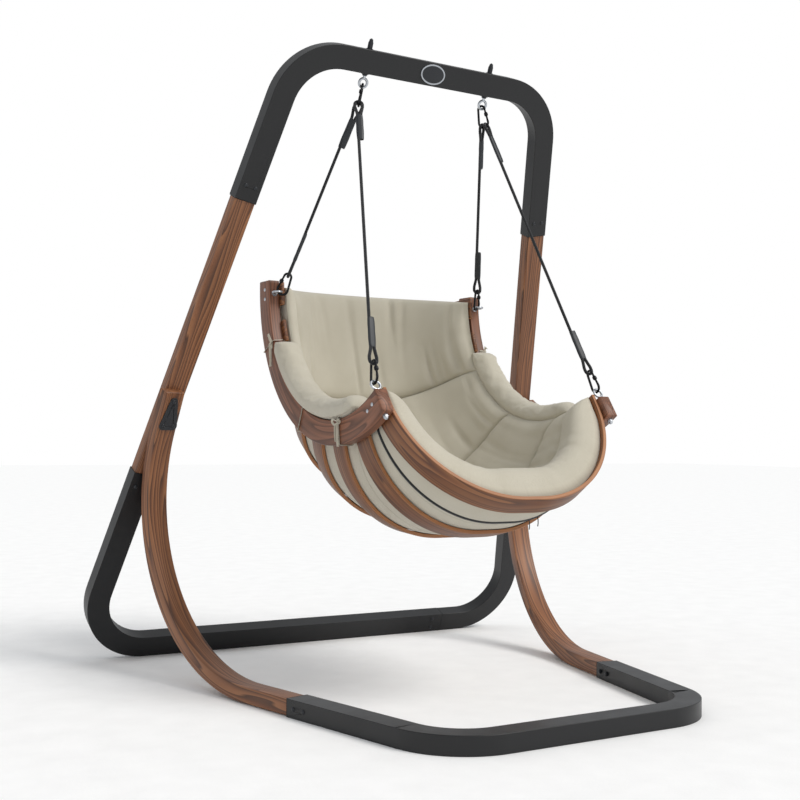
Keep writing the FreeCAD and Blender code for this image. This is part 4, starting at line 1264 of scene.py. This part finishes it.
    def _tie(self, name: str, side: int, angle: float, bow: bool) -> None:
        """One tape round a rib, with a bow on its outer side.

        Args:
            name: The object's name.
            side: -1 left, 1 right.
            angle: Where it goes round the rib, in degrees.
            bow: Whether it is tied in a bow there.
        """
        inside = SEAT.rib_inside - 2.0
        outside = SEAT.rib_inside + SEAT.rib_thickness + 1.6
        low = SEAT.rib_inner - 5.0
        high = SEAT.rib_outer + 1.6
        ring = [(inside, low), (inside, high), (outside, high), (outside, low), (inside + 12, low - 6)]
        corners = [seat_point(side * x, r, angle) for x, r in ring]
        line = rounded_line(corners, [3.0, 3.0, 3.0], 3.0)
        self._round_cord(name, line, 4.0, self.finishes.cloth, 0.22)
        if not bow:
            return
        knot = seat_point(side * (outside + 2), SEAT.rib_inner + 9, angle)
        out = X_AXIS * side
        down = -Z_AXIS
        back = tangent(angle)
        routes = {
            "loop_a": [knot, knot + back * 18 + out * 9 + Z_AXIS * 10,
                       knot + back * 34 + out * 6 + Z_AXIS * 2, knot + back * 16 + out * 3 + down * 8, knot],
            "loop_b": [knot, knot - back * 16 + out * 9 + Z_AXIS * 8, knot - back * 32 + out * 7 + down * 2,
                       knot - back * 15 + out * 3 + down * 9, knot],
            "tail_a": [knot, knot - back * 6 + out * 5 + down * 20, knot - back * 3 + out * 3 + down * 52,
                       knot - back * 9 + out * 4 + down * 78],
            "tail_b": [knot, knot + back * 8 + out * 6 + down * 16, knot + back * 10 + out * 4 + down * 40,
                       knot + back * 7 + out * 3 + down * 61],
        }
        for part, corners in routes.items():
            bends = [7.0] * (len(corners) - 2)
            self._round_cord("%s_%s" % (name, part), rounded_line(corners, bends, 3.0), 4.0,
                             self.finishes.cloth, 0.25)

    @staticmethod
    def _world(flat: np.ndarray, angle: np.ndarray) -> np.ndarray:
        """Points in the row frame from rows of (across, radius) and angles.

        Args:
            flat: (across, radius) in the last axis.
            angle: Angle of each, in degrees.

        Returns:
            Points as rows, in mm.
        """
        turn = np.radians(angle)
        across, radius = flat[..., 0], flat[..., 1]
        return np.stack([across, SEAT.centre_y + radius * np.cos(turn),
                         SEAT.centre_z - radius * np.sin(turn)], axis=-1).reshape(-1, 3)

    @staticmethod
    def _closed_grid(wide: int, tall: int) -> list:
        """Faces of two facing grids joined at their edges.

        Args:
            wide: Vertices across.
            tall: Vertices down.

        Returns:
            Vertex numbers of each face.
        """
        half = wide * tall
        faces = []
        for i in range(tall - 1):
            for j in range(wide - 1):
                a = i * wide + j
                faces.append((a, a + 1, a + wide + 1, a + wide))
                faces.append((half + a, half + a + wide, half + a + wide + 1, half + a + 1))
        for j in range(wide - 1):
            low = (tall - 1) * wide + j
            faces.append((j + 1, j, half + j, half + j + 1))
            faces.append((low, low + 1, half + low + 1, half + low))
        for i in range(tall - 1):
            a = i * wide
            b = a + wide - 1
            faces.append((a, a + wide, half + a + wide, half + a))
            faces.append((b + wide, b, half + b, half + b + wide))
        return faces


# ------------------------------------------------------------------ CAD finishes

class FrameLooks(Maker):
    """Materials and eased edges of the CAD nodes that are shown."""

    def __init__(self, nodes: dict, finishes: Finishes) -> None:
        """Remember the CAD nodes by name."""
        super().__init__(finishes)
        self.nodes = nodes

    def build(self) -> None:
        """Dress every shown CAD node."""
        paint = self.finishes.frame_paint
        for name in ("top_bow", "rear_bow_left", "rear_bow_right", "front_bow"):
            self._dress(name, paint, 2.6, 4)
        self._dress("rear_splice_sleeve", paint, 0.6, 2)
        for name in ("left_leg_plate", "right_leg_plate"):
            self._dress(name, self.finishes.black_bolts, 0.9, 2)
        for name in ("lap_screws", "frame_bolts", "frame_nuts"):
            self._dress(name, self.finishes.black_bolts, 0.3, 2)
        self._dress("top_eye_nuts", self.finishes.black_bolts, 0.3, 2)
        for name in ("hoop_bolts", "hoop_nuts", "seat_eye_nuts"):
            self._dress(name, self.finishes.zinc, 0.3, 2)
        for name in ("top_eye_bolts", "seat_eye_bolts"):
            self._dress(name, self.finishes.zinc, 0.0, 0)
        for place in ("left_top", "left_rear", "left_front", "right_top", "right_rear", "right_front"):
            for part in ("hook", "gate", "gate_nut"):
                self._dress("%s_%s" % (place, part), self.finishes.black_steel, 0.0, 0)
        self._dress("hook_pins", self.finishes.black_steel, 0.0, 0)
        self._dress("badge", self.finishes.badge, 0.9, 3)

    def _dress(self, name: str, material: bpy.types.Material, ease: float, segments: int) -> None:
        """Give one node its material and soft edges.

        Args:
            name: The node.
            material: Its material.
            ease: Width of the eased edges, in mm.
            segments: Steps round an edge.
        """
        thing = self.nodes[name]
        mesh = thing.data
        mesh.materials.clear()
        mesh.materials.append(material)
        if "custom_normal" in mesh.attributes:
            mesh.attributes.remove(mesh.attributes["custom_normal"])
        mesh.shade_smooth()
        weld = thing.modifiers.new("weld", "WELD")
        weld.merge_threshold = 1e-5
        if segments:
            bevel = thing.modifiers.new("ease", "BEVEL")
            bevel.width = ease * MM
            bevel.segments = segments
            bevel.limit_method = "ANGLE"
            bevel.angle_limit = math.radians(38)
            bevel.use_clamp_overlap = True
        else:
            mesh.set_sharp_from_angle(angle=math.radians(38))
        normals = thing.modifiers.new("normals", "WEIGHTED_NORMAL")
        normals.keep_sharp = True
        LOG.info("dressed %s", name)


# ------------------------------------------------------------------ studio

@dataclass(frozen=True)
class Camera:
    """Where the camera stands and how it looks."""

    place: tuple = (-2.1237, -3.430, 0.8232)
    azimuth: float = -0.53235
    elevation: float = -0.033571
    roll: float = 0.009918
    lens: float = 52.62
    sensor: float = 36.0

    def build(self) -> None:
        """Put the camera in the scene."""
        look = np.array([-math.sin(self.azimuth) * math.cos(self.elevation),
                         math.cos(self.azimuth) * math.cos(self.elevation), -math.sin(self.elevation)])
        right = np.array([math.cos(self.azimuth), math.sin(self.azimuth), 0.0])
        up = np.cross(right, look)
        side = right * math.cos(self.roll) + up * math.sin(self.roll)
        top = -right * math.sin(self.roll) + up * math.cos(self.roll)
        data = bpy.data.cameras.new("camera")
        data.lens = self.lens
        data.sensor_width = self.sensor
        camera = bpy.data.objects.new("camera", data)
        rows = np.stack([side, top, -look], axis=1)
        camera.matrix_world = Matrix.Translation(self.place) @ Matrix(rows.tolist()).to_4x4()
        bpy.context.scene.collection.objects.link(camera)
        bpy.context.scene.camera = camera


class Badge(Maker):
    """Raised rim and dark field of the plain oval badge."""

    LONG = 48.0
    SHORT = 34.0
    THICK = 3.5
    RIM = 5.0
    AROUND = 64

    def build(self) -> None:
        """Make the field and ride it on the stand."""
        turns = np.arange(self.AROUND) * math.tau / self.AROUND
        rise = STAND.tube_depth / 2 + self.THICK
        middle = STAND.loop_height - STAND.tube_width / 2
        rings = [(self.RIM, 0.0), (self.RIM, 0.5), (self.RIM + 0.6, 0.7)]
        points = []
        for inset, height in rings:
            for turn in turns:
                points.append(loop_point((self.LONG - inset) * math.cos(turn),
                                         middle + (self.SHORT - inset) * math.sin(turn), rise + height))
        field = make_object("badge_field", np.array(points), tube_faces(len(rings), self.AROUND),
                            self.finishes.black_bolts)
        sharpen(field, 30)
        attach(field, "stand")


class Studio(Maker):
    """Plain pale floor, white surroundings and soft light."""

    FLOOR_HALF = 30000.0

    def build(self) -> None:
        """Make the floor, the surroundings and the lamps."""
        edge = self.FLOOR_HALF
        signs = ((-1, -1), (1, -1), (1, 1), (-1, 1))
        corners = np.array([(x * edge, y * edge, -0.5) for x, y in signs])
        make_object("floor", corners, [(0, 1, 2, 3)], self.finishes.floor)
        world = bpy.data.worlds.new("studio")
        world.use_nodes = True
        tree = world.node_tree
        soft = tree.nodes["Background"]
        soft.inputs["Color"].default_value = (0.96, 0.98, 1.0, 1.0)
        soft.inputs["Strength"].default_value = 0.66
        seen = tree.nodes.new("ShaderNodeBackground")
        path = tree.nodes.new("ShaderNodeLightPath")
        mix = tree.nodes.new("ShaderNodeMixShader")
        tree.links.new(path.outputs["Is Camera Ray"], mix.inputs[0])
        tree.links.new(soft.outputs[0], mix.inputs[1])
        tree.links.new(seen.outputs[0], mix.inputs[2])
        seen.inputs["Color"].default_value = (1.0, 1.0, 1.0, 1.0)
        tree.links.new(mix.outputs[0], tree.nodes["World Output"].inputs["Surface"])
        bpy.context.scene.world = world
        self._sun("key", (1.7, -2.4, 3.0), 1.75, 24.0)
        Camera().build()
        bpy.context.scene.view_settings.view_transform = "Standard"

    @staticmethod
    def _sun(name: str, place: tuple, strength: float, spread: float) -> None:
        """One broad, even light over the whole floor.

        Args:
            name: Its name.
            place: A point that it comes from, in metres.
            strength: Its strength.
            spread: How soft its shadows are, in degrees.
        """
        data = bpy.data.lights.new(name, "SUN")
        data.energy = strength
        data.angle = math.radians(spread)
        data.color = (1.0, 0.975, 0.94)
        lamp = bpy.data.objects.new(name, data)
        lamp.location = place
        lamp.rotation_euler = (-Vector(place)).to_track_quat("-Z", "Y").to_euler()
        bpy.context.scene.collection.objects.link(lamp)


def main() -> None:
    """Build the whole scene."""
    logging.basicConfig(level=logging.INFO)
    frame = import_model()
    finishes = Finishes()
    FrameLooks(frame["nodes"], finishes).build()
    StandTimbers(finishes).build()
    SeatTimbers(finishes).build()
    Ropes(finishes).build()
    Cushion(finishes).build()
    Badge(finishes).build()
    Studio(finishes).build()
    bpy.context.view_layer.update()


if __name__ == "__main__":
    main()
